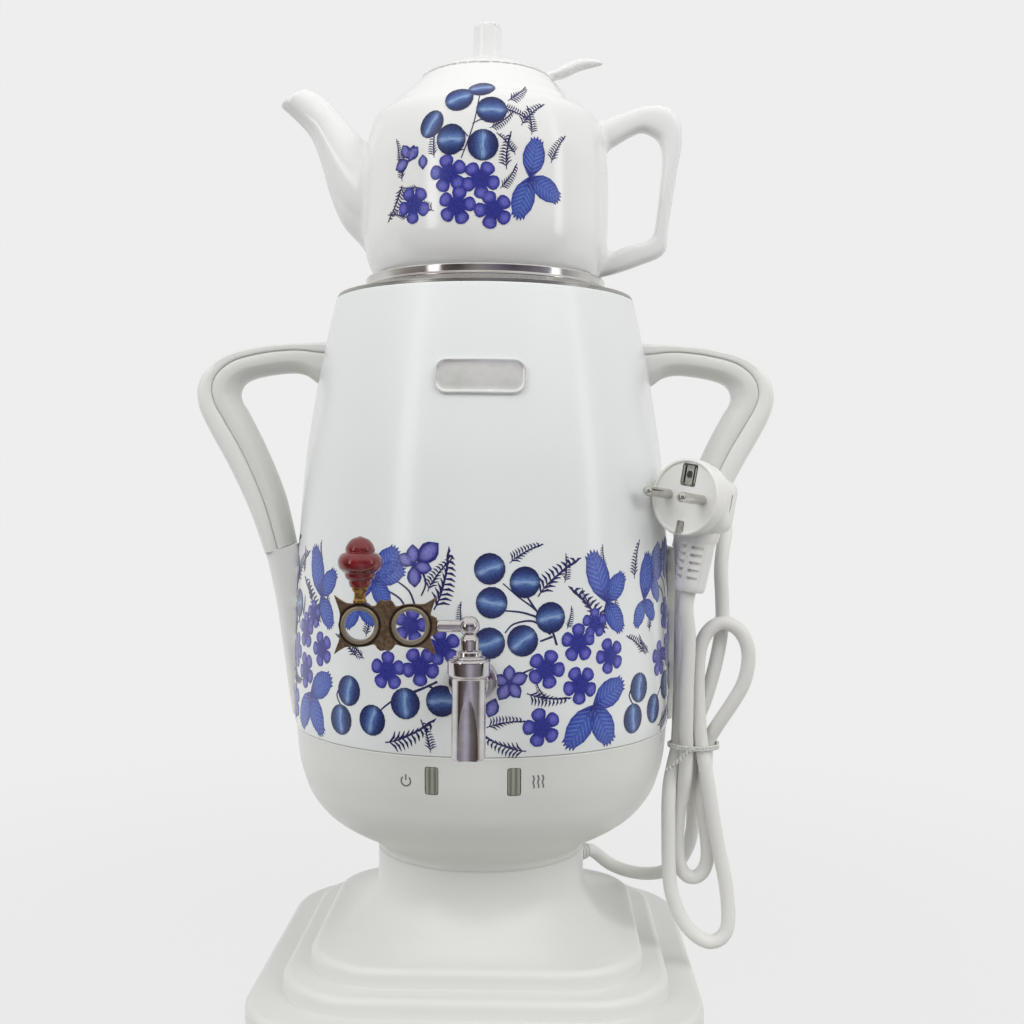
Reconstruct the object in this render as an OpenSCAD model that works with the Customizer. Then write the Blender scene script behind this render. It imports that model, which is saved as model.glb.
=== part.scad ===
// Electric samovar with a teapot on its lid, in millimetres, +Z up.
// The origin lies on the body's axis, on the table under the feet. The tap faces -Y.

/* [Pedestal] */
// Height of the rubber feet
foot_h = 3; // [2:0.5:5]
// Radius of a rubber foot
foot_r = 8; // [6:0.5:10]
// Half of the lowest step's width
slab_half = 108; // [104:1:114]
// Corner radius of the lowest step
slab_corner = 46; // [40:1:50]
// Height of the lowest step
slab_h = 10; // [8:0.5:14]
// Height of each of the two upper steps
step_h = 9; // [7:0.5:11]
// Ledge between the lowest and the middle step
low_ledge = 15.5; // [12:0.5:18]
// Ledge between the middle and the top step
high_ledge = 12; // [10:0.5:14]
// Rounding of the steps' upper edges
step_round = 4; // [2:0.5:5]
// Height of the hollow flare between the top step and the neck
flare_h = 24; // [18:1:28]
// Outer radius of the neck
neck_r = 53; // [51:1:55]
// Height of the neck's seam above the table
neck_top = 68; // [64:1:72]
// Wall of the plastic mouldings
plastic_wall = 2.5; // [2:0.1:3]
// Thickness of the plate that closes the pedestal's underside
plate_t = 2.5; // [2:0.1:3]
// Thickness of the pedestal's top plate and of the housing's floor
floor_t = 3.5; // [3:0.1:4.5]

/* [Body] */
// Height of the seam between the lower housing and the steel shell
seam_z = 132.5; // [128:0.5:136]
// Radius of the lower housing at the seam
seam_r = 95; // [93:0.5:97]
// Largest radius of the steel shell
belly_r = 96.3; // [95.5:0.1:98]
// Radius of the steel shell at its rim
rim_r = 76; // [74:0.5:78]
// Height of the shell's rim above the table
rim_z = 347; // [340:1:360]
// Thickness of the steel sheet
steel_t = 1; // [0.8:0.1:1.2]
// Clearance between the seam's radius and the water tank
tank_gap = 11; // [10:0.5:15]
// Width of the tank's rolled lip on the shell's rim
mouth_lip = 4; // [4:0.5:6]
// Height of the tank's underside above the seam
tank_lift = 11.5; // [10:0.5:14]

/* [Lid and teapot] */
// Height of the lid's seat above the shell's rim
seat_rise = 5.5; // [3:0.5:6]
// Clearance between the teapot's foot and the collar that holds it
collar_gap = 8; // [7:0.5:10]
// Height of the collar
collar_h = 5.5; // [4:0.5:6]
// Radius of the teapot's foot
teapot_foot_r = 52; // [48:0.5:54]
// Largest radius of the teapot
teapot_r = 62.5; // [61:0.5:65]
// Height of the teapot's body without its lid
teapot_h = 107; // [104:0.5:112]
// Wall of the teapot
teapot_wall = 4; // [3:0.5:5]
// Radius of the teapot's mouth
teapot_mouth_r = 28.5; // [26:0.5:30]
// Radius of the teapot lid's knob
lid_knob_r = 7.1; // [6:0.1:8]
// Height of the teapot lid's knob above its dome
lid_knob_h = 18.5; // [14:0.5:20]

/* [Side handles] */
// Thickness of a side handle from front to back
handle_t = 22; // [18:0.5:24]
// Height of the upper handle screws
handle_screw_high = 315; // [313:0.5:317]
// Height of the lower handle screws
handle_screw_low = 172; // [160:1:185]

/* [Tap] */
// Distance from the body's axis to the tap's spindle
tap_reach = 130; // [126:1:134]
// Height of the tap's inlet above the table
tap_z = 167; // [165:0.5:168]
// Height of the spout's mouth above the table
spout_z = 140; // [138:0.5:144]
// Outer radius of the tap's spout
spout_r = 7.1; // [6.5:0.1:7.5]
// Radius of the tap's collar
tap_collar_r = 8.9; // [8.5:0.1:9.5]
// Height of the top of the tap's collar
tap_top_z = 182; // [181:0.5:184]
// Radius of the turning plug inside the tap
tap_plug_r = 4.9; // [4.5:0.1:5]
// Radius of the tap's threaded tail
tail_r = 6.5; // [6:0.1:7]
// Radius of the ball on the spindle
ball_r = 4.3; // [4:0.1:4.6]
// Height of the ball's centre
ball_z = 195.5; // [195:0.5:198]
// Distance from the spindle to the near edge of the lever's plate
lever_reach = 13.5; // [12:0.5:16]
// Length of the lever's plate
lever_len = 43; // [41:0.5:45]
// Height of the lever's plate
lever_h = 24.6; // [23:0.2:26]
// Thickness of the lever's plate
lever_t = 2.6; // [2:0.1:3.2]
// Radius of the two rings' holes
ring_hole_r = 6.3; // [5.8:0.1:6.6]
// Radius of the red knob
red_knob_r = 9.2; // [8.5:0.1:10]
// Height of the red knob
red_knob_h = 21.2; // [18:0.1:22]
// Length of the brass stem under the red knob
stem_h = 6.6; // [6:0.1:9]

/* [Badge and lamps] */
// Width of the badge
badge_w = 41.7; // [36:0.1:46]
// Height of the badge
badge_h = 16.1; // [14:0.1:18]
// Height of the badge's middle above the table
badge_z = 302.8; // [295:0.1:306]
// How far right of the middle the badge is glued on
badge_shift = 1.6; // [0:0.1:3]
// Thickness of the badge
badge_t = 1.4; // [1:0.1:2]
// Width of a pilot lamp's window
window_w = 5.8; // [5:0.1:7]
// Height of a pilot lamp's window
window_h = 12.5; // [11:0.1:14]
// Distance of a window from the middle
window_x = 18.5; // [16:0.5:22]
// Height of the windows' middle above the table
window_z = 121.4; // [120:0.1:123]

/* [Cord and plug] */
// Diameter of the mains cord
cord_d = 7; // [6:0.5:8]
// Radius of the plug's round face
plug_r = 18.5; // [18:0.1:18.5]
// Depth of the plug behind its face
plug_depth = 28; // [26:0.5:30]
// Diameter of the plug's pins
pin_d = 4.8; // [4:0.1:5]
// Length and spacing of the plug's pins
pin_len = 19; // [18:0.5:20]

/* [Fits] */
// Radial clearance of a turning fit
run_fit = 0.05; // [0.02:0.01:0.1]
// Clearance between pieces that are pushed together
push_fit = 0.1; // [0.05:0.05:0.2]
// Clearance round loose pieces and screws in their holes
loose_fit = 0.4; // [0.3:0.1:0.6]

/* [Hidden] */
$fn = 64;
eps = 0.01;

// Heights and half widths of the pedestal's steps
slab_top = foot_h + slab_h;
middle_top = slab_top + step_h;
top_top = middle_top + step_h;
middle_half = slab_half - low_ledge;
top_half = middle_half - high_ledge;
corner_drop = 4;
middle_corner = slab_corner - corner_drop;
top_corner = middle_corner - corner_drop;
flare_w = top_half - step_round - neck_r;

// Screws: shank radius, head radius and head height
screw_r = 1.5;
screw_head_r = 3.1;
screw_head_h = 2;
stud_r = 2;
nut_r = 4;
nut_h = 3.2;
post_at = top_half - 20.5;
foot_at = slab_half - 24;
bolt_ring_r = 38;
wire_hole_r = 9;

// The tank's underside, and the heights of what hangs under it
tank_z = seam_z + tank_lift;
tank_r = seam_r - tank_gap;
collar_r = teapot_foot_r + collar_gap;
mouth_r = rim_r - mouth_lip;
housing_floor = neck_top + floor_t;
flange_t = 0.8;
seat_z = rim_z + seat_rise;

// A smooth line through a few points, with n steps between two of them
function between(a, b, c, d, t) =
    0.5 * (2 * b + (c - a) * t + (2 * a - 5 * b + 4 * c - d) * t * t
    + (3 * b - a - 3 * c + d) * t * t * t);
function smooth(p, n) = [
    for (i = [0 : len(p) - 2], k = [0 : n - 1])
        between(p[max(i - 1, 0)], p[i], p[i + 1], p[min(i + 2, len(p) - 1)], k / n),
    p[len(p) - 1]
];
function reversed(p) = [for (i = [len(p) - 1 : -1 : 0]) p[i]];
function unit(v) = v / norm(v);
function mix(a, b, t) = a + (b - a) * t;

// A closed skin over rings of equally many points, capped at both ends
module skin(rings) {
    n = len(rings[0]);
    m = len(rings);
    polyhedron(
        points = [for (r = rings, p = r) p],
        faces = concat(
            [[for (i = [0 : n - 1]) i]],
            [for (j = [0 : m - 2], i = [0 : n - 1])
                [j * n + i, (j + 1) * n + i, (j + 1) * n + (i + 1) % n]],
            [for (j = [0 : m - 2], i = [0 : n - 1])
                [j * n + i, (j + 1) * n + (i + 1) % n, j * n + (i + 1) % n]],
            [[for (i = [n - 1 : -1 : 0]) (m - 1) * n + i]]
        ),
        convexity = 6
    );
}

module rounded_plate(half_x, half_y, corner, h) {
    linear_extrude(h) {
        square([2 * half_x, 2 * (half_y - corner)], center = true);
        square([2 * (half_x - corner), 2 * half_y], center = true);
        for (sx = [-1, 1], sy = [-1, 1])
            translate([sx * (half_x - corner), sy * (half_y - corner)]) circle(corner);
    }
}

module ring(outer, inner, h) {
    difference() {
        cylinder(r = outer, h = h);
        translate([0, 0, -1]) cylinder(r = inner, h = h + 2);
    }
}

module around(count, radius, start = 0) {
    for (i = [0 : count - 1]) rotate([0, 0, start + i * 360 / count]) translate([radius, 0, 0]) children();
}

// A pan-head screw whose head sits under z = 0 and whose shank points up
module screw_up(length) {
    translate([0, 0, -screw_head_h]) cylinder(r1 = screw_head_r - 0.6, r2 = screw_head_r, h = screw_head_h);
    cylinder(r = screw_r, h = length);
}

// ---- Pedestal: one hollow moulding, square steps that flare into a round neck
function square_reach(a, half, corner) =
    let (c = half - corner, x = abs(cos(a)), y = abs(sin(a)))
    half * min(x, y) / max(x, y) <= c ? half / max(x, y)
        : (x + y) * c + sqrt(pow((x + y) * c, 2) - 2 * c * c + corner * corner);
function square_ring(z, half, corner, n = 64) =
    [for (i = [0 : n - 1]) let (a = 360 * i / n, r = square_reach(a, half, corner))
        [r * cos(a), r * sin(a), z]];
function rounded_edge(top, half, corner) =
    [for (a = [0 : 30 : 90]) [top - step_round * (1 - sin(a)), half - step_round * (1 - cos(a)),
        corner - step_round * (1 - cos(a))]];
function flare(in) =
    [for (a = [0 : 15 : 90]) [top_top + flare_h * (1 - cos(a)) - in * cos(a),
        neck_r + flare_w * (1 - sin(a)) - in * sin(a),
        mix(top_corner - step_round, neck_r, sin(a)) - in * sin(a)]];
pedestal_outside = concat(
    [[foot_h, slab_half, slab_corner]], rounded_edge(slab_top, slab_half, slab_corner),
    [[slab_top, middle_half, middle_corner]], rounded_edge(middle_top, middle_half, middle_corner),
    [[middle_top, top_half, top_corner]], rounded_edge(top_top, top_half, top_corner),
    [for (i = [1 : 6]) flare(0)[i]], [[neck_top, neck_r, neck_r]]
);
w = plastic_wall;
pedestal_inside = concat(
    [[foot_h, slab_half - w, slab_corner - w], [slab_top - w, slab_half - w, slab_corner - w],
    [slab_top - w, middle_half - w, middle_corner - w], [middle_top - w, middle_half - w, middle_corner - w],
    [middle_top - w, top_half - w, top_corner - w], [top_top - w, top_half - w, top_corner - w]],
    flare(w), [[neck_top - floor_t, neck_r - w, neck_r - w]]
);
post_top = top_top - 0.5;
gland_az = 45;
gland_z = 47;
gland_inner = neck_r - 4;
gland_face = neck_r + 7;
gland_hole_r = cord_d / 2 + 1.6;
gland_flange_r = gland_hole_r + 2.2;

module gland_axis(r) {
    rotate([0, 0, gland_az]) translate([r, 0, gland_z]) rotate([0, 90, 0]) children();
}

module base_pedestal() {
    color("whitesmoke") difference() {
        union() {
            skin([for (s = concat(reversed(pedestal_inside), pedestal_outside))
                square_ring(s[0], s[1], s[2])]);
            around(4, post_at * sqrt(2), 45) translate([0, 0, foot_h + plate_t])
                cylinder(r = 4.5, h = post_top - foot_h - plate_t);
            gland_axis(gland_inner) cylinder(r = 9, h = gland_face - gland_inner);
        }
        around(4, post_at * sqrt(2), 45) translate([0, 0, foot_h]) cylinder(r = screw_r + push_fit, h = 16);
        translate([0, 0, neck_top - floor_t - 1]) cylinder(r = wire_hole_r, h = floor_t + 2);
        around(4, bolt_ring_r) translate([0, 0, neck_top - floor_t - 1])
            cylinder(r = screw_r + loose_fit, h = floor_t + 2);
        around(4, bolt_ring_r, 45) translate([0, 0, neck_top - floor_t - 1])
            cylinder(r = nut_r + 2 * loose_fit, h = floor_t + 2);
        gland_axis(gland_inner - 8) cylinder(r = gland_hole_r + push_fit, h = gland_face - gland_inner + 10);
        gland_axis(gland_face) cylinder(r = gland_flange_r + loose_fit, h = 12);
    }
}

module base_plate() {
    plate_half = slab_half - plastic_wall - 2 * loose_fit;
    color("gainsboro") difference() {
        translate([0, 0, foot_h])
            rounded_plate(plate_half, plate_half, slab_corner - plastic_wall, plate_t);
        around(4, post_at * sqrt(2), 45) translate([0, 0, foot_h - 1])
            cylinder(r = screw_r + loose_fit, h = plate_t + 2);
    }
}

module base_screws() {
    color("silver") around(4, post_at * sqrt(2), 45) translate([0, 0, foot_h]) screw_up(plate_t + 10);
}

module rubber_feet() {
    color("dimgray") around(4, foot_at * sqrt(2), 45)
        rotate_extrude() polygon([[0, 0], [foot_r - 0.8, 0], [foot_r, 0.8], [foot_r, foot_h], [0, foot_h]]);
}

// ---- Cord gland: a rubber bush through the pedestal's wall with a tapered tail
gland_tail_end = gland_face + 20;
module cord_gland() {
    color("lightgray") gland_axis(0) rotate_extrude() polygon([
        [cord_d / 2 + eps, gland_inner - 3], [gland_hole_r + 1.4, gland_inner - 3],
        [gland_hole_r + 1.4, gland_inner], [gland_hole_r, gland_inner],
        [gland_hole_r, gland_face], [gland_flange_r, gland_face],
        [gland_flange_r, gland_face + 1.4], [gland_hole_r + 1, gland_face + 2.4],
        [cord_d / 2 + 1, gland_tail_end - 1.5], [cord_d / 2 + 0.7, gland_tail_end],
        [cord_d / 2 + eps, gland_tail_end]
    ]);
}

// ---- Cords: a round tube swept along a smooth route
function tangents(p) = [for (i = [0 : len(p) - 1]) unit(p[min(i + 1, len(p) - 1)] - p[max(i - 1, 0)])];
function carried(t, i, v) =
    i == len(t) ? [] : let (u = unit(v - (v * t[i]) * t[i])) concat([u], carried(t, i + 1, u));
function tube_rings(p, r, sides) =
    let (t = tangents(p), u = carried(t, 0, [0.3, 0.2, 1]))
    [for (i = [0 : len(p) - 1]) let (v = cross(t[i], u[i]))
        [for (k = [0 : sides - 1]) let (a = -360 * k / sides) p[i] + r * cos(a) * u[i] + r * sin(a) * v]];
function bend(p, i, k) = acos(min(1, unit(p[k + 1] - p[k]) * unit(p[i + 1] - p[i])));
function kept(p, i, k) = i == len(p) - 1 ? [p[i]]
    : bend(p, i, k) > 19 || norm(p[i] - p[k]) > 36 ? concat([p[i]], kept(p, i + 1, i)) : kept(p, i + 1, k);
gland_out = [cos(gland_az), sin(gland_az), 0];
gland_end = gland_tail_end * gland_out + [0, 0, gland_z];
terminal_z = housing_floor + 4;

module inner_lead() {
    color("white") skin(tube_rings(smooth([
        gland_end, (gland_inner - 4) * gland_out + [0, 0, gland_z],
        30 * gland_out + [0, 0, gland_z + 1], 12 * gland_out + [0, 0, gland_z + 8],
        [0, 0, neck_top - 4], [0, 0, terminal_z]
    ], 3), cord_d / 2, 8));
}

// ---- Lower housing: a round plastic bowl on the pedestal's neck
bowl_shape = [[0, 0], [0, 0.045], [0.143, 0.119], [0.457, 0.233], [0.66, 0.335], [0.824, 0.476],
    [0.912, 0.623], [0.967, 0.77], [1, 1]];
bowl_outline = smooth([for (s = bowl_shape)
    [neck_r + s[0] * (seam_r - neck_r), neck_top + s[1] * (seam_z - neck_top)]], 4);
bowl_lining = smooth([for (i = [2 : len(bowl_shape) - 1]) let (s = bowl_shape[i])
    [neck_r - w + s[0] * (seam_r - neck_r), neck_top + w + s[1] * (seam_z - neck_top - w)]], 4);
shell_shape = [[0, 0.945], [0.044, 1], [0.15, 0.985], [0.283, 0.955], [0.4, 0.91], [0.5, 0.845],
    [0.62, 0.735], [0.724, 0.58], [0.805, 0.435], [0.903, 0.235], [1, 0]];
shell_outline = smooth([for (s = shell_shape)
    [rim_r + s[1] * (belly_r - rim_r), seam_z + s[0] * (rim_z - seam_z)]], 3);
function shell_at(z) = lookup(z, [for (p = shell_outline) [p[1], p[0]]]);
function bowl_at(z) =
    lookup(z, [for (i = [5 : len(bowl_outline) - 1]) [bowl_outline[i][1], bowl_outline[i][0]]]);
lip_r = shell_at(seam_z) - steel_t - loose_fit;

module window_slots(grow, from, depth) {
    for (side = [-1, 1]) translate([side * window_x, -from, window_z])
        cube([window_w + 2 * grow, depth, window_h + 2 * grow], center = true);
}

module lower_housing() {
    color("gainsboro") difference() {
        union() {
            rotate_extrude() polygon(concat(bowl_outline, reversed(bowl_lining),
                [[neck_r - 6, housing_floor], [0, housing_floor], [0, neck_top]]));
            translate([0, 0, seam_z - 2]) ring(lip_r, lip_r - 1.6, 8);
            around(4, bolt_ring_r) translate([0, 0, housing_floor - 1]) cylinder(r = 4.2, h = 11);
            around(4, bolt_ring_r, 45) translate([0, 0, housing_floor - 1]) cylinder(r = 5, h = 5);
        }
        translate([0, 0, neck_top - 1]) cylinder(r = wire_hole_r, h = floor_t + 2);
        around(4, bolt_ring_r) translate([0, 0, neck_top - 1])
            cylinder(r = screw_r + push_fit, h = floor_t + 9);
        around(4, bolt_ring_r, 45) translate([0, 0, neck_top - 1])
            cylinder(r = stud_r + loose_fit, h = floor_t + 9);
        window_slots(push_fit, bowl_at(window_z), 14);
    }
}

module pedestal_screws() {
    color("silver") around(4, bolt_ring_r) translate([0, 0, neck_top - floor_t]) screw_up(floor_t + 10);
}

// Studs welded to the tank's underside, and the nuts that pull the tank, housing and pedestal together
module tank_studs() {
    color("silver") around(4, bolt_ring_r, 45) translate([0, 0, neck_top - nut_h - 1])
        cylinder(r = stud_r, h = tank_z - neck_top + nut_h + 1);
}

module tank_nuts() {
    color("silver") around(4, bolt_ring_r, 45) translate([0, 0, neck_top - nut_h]) difference() {
        cylinder(r = nut_r, h = nut_h, $fn = 6);
        translate([0, 0, -1]) cylinder(r = stud_r + run_fit, h = nut_h + 2, $fn = 32);
    }
}

// ---- Electrics between the housing's floor and the tank
module terminal_block() {
    color("ivory") difference() {
        translate([-17, -12, housing_floor]) cube([34, 24, 16]);
        translate([0, 0, housing_floor - 1]) cylinder(r = wire_hole_r, h = 9);
        for (i = [-1, 0, 1]) translate([i * 10, 0, housing_floor + 10]) {
            rotate([90, 0, 0]) cylinder(r = 2.2, h = 30, center = true);
            cylinder(r = 2, h = 10);
        }
    }
}

module element(radius, tube, ends) {
    translate([0, 0, tank_z - tube - push_fit]) {
        rotate([0, 0, ends / 2]) rotate_extrude(angle = 360 - ends)
            translate([radius, 0]) circle(tube, $fn = 24);
        for (side = [-1, 1]) rotate([0, 0, side * ends / 2]) translate([radius, 0, -14])
            cylinder(r = tube, h = 14 + 0.3 * tube, $fn = 24);
    }
}

module boil_element() {
    color("dimgray") element(tank_r - 24, 4, 30);
}

module warm_element() {
    color("gray") rotate([0, 0, 180]) element(26, 3.2, 40);
}

module thermostat() {
    color("tan") translate([0, 0, tank_z - 10]) {
        cylinder(r = 9, h = 10 - push_fit);
        for (side = [-1, 1]) translate([side * 5 - 0.4, -3, -9]) cube([0.8, 6, 10]);
    }
}

module thermal_cutout() {
    color("white") translate([0, 43, tank_z - 7]) {
        cylinder(r = 7.5, h = 7 - push_fit);
        for (side = [-1, 1]) translate([side * 4 - 0.4, -2.5, -8]) cube([0.8, 5, 9]);
    }
}

// ---- Pilot lamps: a clear window pushed into its slot, with a neon lamp in the tube behind it
lamp_r = 3;
lens_back = bowl_at(window_z) - 8;
window_low = window_z - window_h / 2 - 1;
window_high = window_z + window_h / 2 + 1;
module lens(side) {
    difference() {
        union() {
            intersection() {
                rotate_extrude() polygon([[lens_back, window_low], [bowl_at(window_low) + 0.3, window_low],
                    [bowl_at(window_high) + 0.3, window_high], [lens_back, window_high]]);
                translate([side * window_x, -bowl_at(window_z), window_z])
                    cube([window_w, 16, window_h], center = true);
            }
            translate([side * window_x, -lens_back + 0.5, window_z]) rotate([-90, 0, 0])
                translate([0, 0, -0.5]) linear_extrude(2) square([window_w + 4, window_h + 2], center = true);
            translate([side * window_x, -lens_back, window_z]) rotate([-90, 0, 0])
                cylinder(r = lamp_r + 1.2, h = 8);
        }
        translate([side * window_x, -lens_back - 1, window_z]) rotate([-90, 0, 0])
            cylinder(r = lamp_r + push_fit, h = 12);
    }
}
module power_lens() { color("darkgray", 0.8) lens(-1); }
module heat_lens() { color("darkgray", 0.8) lens(1); }

module pilot_lamps() {
    color("orange") for (side = [-1, 1]) translate([side * window_x, -lens_back, window_z])
        rotate([-90, 0, 0]) cylinder(r = lamp_r, h = 14);
}

// ---- Steel shell: painted outside, rolled in at its rim
shell_inside = [for (p = shell_outline) [p[0] - steel_t, p[1]]];
module outer_shell() {
    color("white") difference() {
        union() {
            rotate_extrude() polygon(concat(shell_outline, reversed(shell_inside)));
            translate([0, 0, rim_z - steel_t]) ring(rim_r - eps, mouth_r + loose_fit, steel_t);
        }
        translate([0, 0, tap_z]) rotate([90, 0, 0]) cylinder(r = tail_r + loose_fit, h = belly_r + 5);
        handle_screw_holes(screw_r + loose_fit);
    }
}

module handle_screw_holes(r) {
    for (side = [-1, 1], z = [handle_screw_low, handle_screw_high])
        translate([side * (shell_at(z) - 6), 0, z]) rotate([0, side * 90, 0])
            cylinder(r = r, h = z == handle_screw_low ? 12 : 26);
}

// ---- Water tank: drawn steel, its mouth rolled out over the shell's rim
tank_outline = concat(
    [[0, tank_z], [tank_r - 6, tank_z]],
    [for (a = [-75 : 15 : -15]) [tank_r - 6 + 6 * cos(a), tank_z + 6 + 6 * sin(a)]],
    [[tank_r, tank_z + 6]],
    smooth([[tank_r, 0.55], [tank_r - 1, 0.7], [mouth_r + 4.5, 0.86], [mouth_r + 0.6, 0.945],
        [mouth_r, 1]], 4)
        * [[1, 0], [0, rim_z - tank_z]] + [for (i = [0 : 16]) [0, tank_z]]
);
tank_lining = concat(
    [[0, tank_z + steel_t]],
    [for (i = [1 : 6])
        [tank_outline[i][0] - (i == 1 ? 0 : steel_t), tank_outline[i][1] + (i == 1 ? steel_t : 0)]],
    [for (i = [7 : len(tank_outline) - 1]) tank_outline[i] - [steel_t, 0]]
);
tap_hole_y = tank_r + 4;
module water_tank() {
    color("silver") difference() {
        union() {
            rotate_extrude() polygon(concat(tank_outline, reversed(tank_lining)));
            translate([0, 0, rim_z]) ring(rim_r - 0.4, mouth_r - steel_t, flange_t);
        }
        translate([0, 0, tap_z]) rotate([90, 0, 0]) cylinder(r = tail_r + loose_fit, h = tap_hole_y);
    }
}

// ---- Side handles: an outer cover on an inner grip, both seated on the shell
// Each station: the outer edge x and z, the inner edge x and z, half the thickness, the seam's place
half_t = handle_t / 2;
handle_stations = [
    [78, 326.5, 78, 301, half_t, 0.5], [87, 326, 86, 305.2, half_t, 0.5], [93, 325.7, 91.5, 309, half_t, 0.5],
    [101, 325.2, 98, 310.6, half_t, 0.5], [116, 323.7, 107.5, 310, half_t, 0.45],
    [132.5, 319.4, 118, 308, half_t, 0.4], [143.2, 311.6, 124.4, 305, half_t, 0.3],
    [147.6, 302.6, 127, 300, half_t, 0.2], [146.9, 292.5, 126, 295.2, half_t, 0.1],
    [141.6, 280.7, 122.8, 290, half_t, 0.05], [131.4, 262.3, 113.6, 272, half_t, 0],
    [120.6, 239.5, 103.8, 248, half_t, 0], [112.6, 217.2, 97.6, 222.6, half_t, 0]
];
foot_stations = [
    [111, 211.5, 94, 216.5, half_t - 0.2, -1], [106.9, 192.7, 90, 196, half_t - 0.5, -1],
    [103.7, 171.9, 90, 173, half_t - 1, -1], [100.4, 148, 90, 148, half_t - 2, -1],
    [98.3, 134.5, 90, 134.5, half_t - 3, -1]
];
function boxy(v) = sign(v) * pow(abs(v), 0.7);
function handle_point(s, a) =
    let (mid = [s[0] + s[2], 0, s[1] + s[3]] / 2, out = [s[0] - s[2], 0, s[1] - s[3]] / 2)
    mid + out * boxy(cos(a)) + [0, s[4] * boxy(sin(a)), 0];
function seam_angle(f) = f < -0.98 ? 180 : acos(sign(f) * pow(abs(f), 1 / 0.7));
function cover_ring(s) = let (a = seam_angle(s[5])) [for (k = [-6 : 6]) handle_point(s, -a * k / 6)];
function grip_ring(s) =
    let (a = seam_angle(s[5])) [for (k = [0 : 12]) handle_point(s, -mix(a, 360 - a, k / 12))];

module shell_space() {
    rotate_extrude() polygon(concat([for (p = shell_outline) p + [push_fit, 0]], [[0, rim_z], [0, seam_z]]));
}
module handle_cover() {
    difference() {
        skin([for (s = smooth(concat(handle_stations, foot_stations), 2)) cover_ring(s)]);
        shell_space();
        handle_screw_holes(screw_r + push_fit);
    }
}
module handle_grip() {
    difference() {
        skin([for (s = smooth(handle_stations, 2)) grip_ring(s)]);
        shell_space();
        handle_screw_holes(screw_r + push_fit);
    }
}
module left_handle_cover() { color("whitesmoke") mirror([1, 0, 0]) handle_cover(); }
module left_handle_grip() { color("gainsboro") mirror([1, 0, 0]) handle_grip(); }
module right_handle_cover() { color("whitesmoke") handle_cover(); }
module right_handle_grip() { color("gainsboro") handle_grip(); }

module handle_screws() {
    color("silver") for (side = [-1, 1], z = [handle_screw_low, handle_screw_high])
        translate([side * (shell_at(z) - steel_t - 1.2), 0, z]) rotate([0, side * 90, 0])
            screw_up(z == handle_screw_low ? 7 : 20);
}

// ---- Badge: a bare plate with a raised rim, bent to the shell and glued on
module badge_shape(grow) {
    translate([badge_shift, 0, badge_z]) rotate([90, 0, 0])
        rounded_plate(badge_w / 2 + grow, badge_h / 2 + grow, badge_h * 0.36 + grow, belly_r + 5);
}
module badge_band(t) {
    z0 = badge_z - badge_h / 2 - 1;
    z1 = badge_z + badge_h / 2 + 1;
    rotate_extrude() polygon([
        [shell_at(z0) + 0.15, z0], [shell_at(z0) + t, z0], [shell_at(z1) + t, z1],
        [shell_at(z1) + 0.15, z1]]);
}
module badge_plate() {
    color("silver") union() {
        intersection() { badge_band(badge_t - 0.4); badge_shape(0); }
        difference() {
            intersection() { badge_band(badge_t); badge_shape(0); }
            badge_shape(-1.3);
        }
    }
}

// ---- Tap: chromed brass, its threaded tail held by a nut inside the tank
washer_r = 11;
washer_t = 2;
shell_face = shell_at(tap_z - washer_r) + push_fit;
bonnet_h = 3.4;
neck_pin_r = 3.2;
tail_flange_t = 2.5;
tail_length = tap_reach - tank_r + 12;
spout_bore_r = 4.2;
scoop_r = 9;
scoop_depth = 2.4;
scoop_mid = spout_z + 3;
scoop_half = 34;
module tap_axis(y) {
    translate([0, -y, tap_z]) rotate([-90, 0, 0]) children();
}
module tap_body() {
    flange_y = shell_face + washer_t + tail_flange_t;
    color("silver") difference() {
        union() {
            translate([0, -tap_reach, 0]) rotate_extrude() polygon([
                [0, spout_z], [spout_r - 0.5, spout_z], [spout_r, spout_z + 0.6], [spout_r, tap_z + 7],
                [tap_collar_r - 0.4, tap_z + 8], [tap_collar_r, tap_z + 8.6], [tap_collar_r, tap_top_z - 0.8],
                [tap_collar_r - 0.8, tap_top_z], [0, tap_top_z]]);
            tap_axis(tap_reach) cylinder(r = spout_r - 0.6, h = tap_reach - flange_y + 1);
            tap_axis(flange_y) cylinder(r1 = washer_r - 2, r2 = washer_r, h = tail_flange_t);
            tap_axis(tap_reach) cylinder(r = tail_r, h = tail_length);
        }
        translate([0, -tap_reach, spout_z - 1]) cylinder(r = spout_bore_r, h = tap_z - spout_z);
        translate([0, -tap_reach, tap_z - 9]) cylinder(r = tap_plug_r + run_fit, h = tap_top_z - tap_z + 10);
        tap_axis(tap_reach) cylinder(r = 3.2, h = tail_length + 1);
        translate([0, -tap_reach - spout_r - scoop_r + scoop_depth, scoop_mid]) rotate_extrude() polygon(
            [for (a = [-90 : 10 : 90]) [scoop_r * cos(a), scoop_half * sin(a)]]);
    }
}

module tap_bonnet() {
    color("silver") translate([0, -tap_reach, tap_top_z]) difference() {
        rotate_extrude() polygon([[0, 0], [7, 0], [7.2, 0.4], [6.6, 1], [5.4, 1.3], [5.4, 2.9],
            [4.9, bonnet_h], [0, bonnet_h]]);
        translate([0, 0, -1]) cylinder(r = neck_pin_r + run_fit, h = bonnet_h + 2);
    }
}

module tap_washer() {
    color("dimgray") tap_axis(shell_face + washer_t) ring(washer_r, tail_r + push_fit, washer_t);
}

module tap_seal() {
    color("firebrick") tap_axis(tank_r + 5.2) ring(washer_r, tail_r + push_fit, 5);
}

module tap_nut() {
    color("silver") tap_axis(tank_r - steel_t - 1.2) difference() {
        cylinder(r = 12, h = 5, $fn = 6);
        translate([0, 0, -1]) cylinder(r = tail_r + run_fit, h = 7);
    }
}

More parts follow.
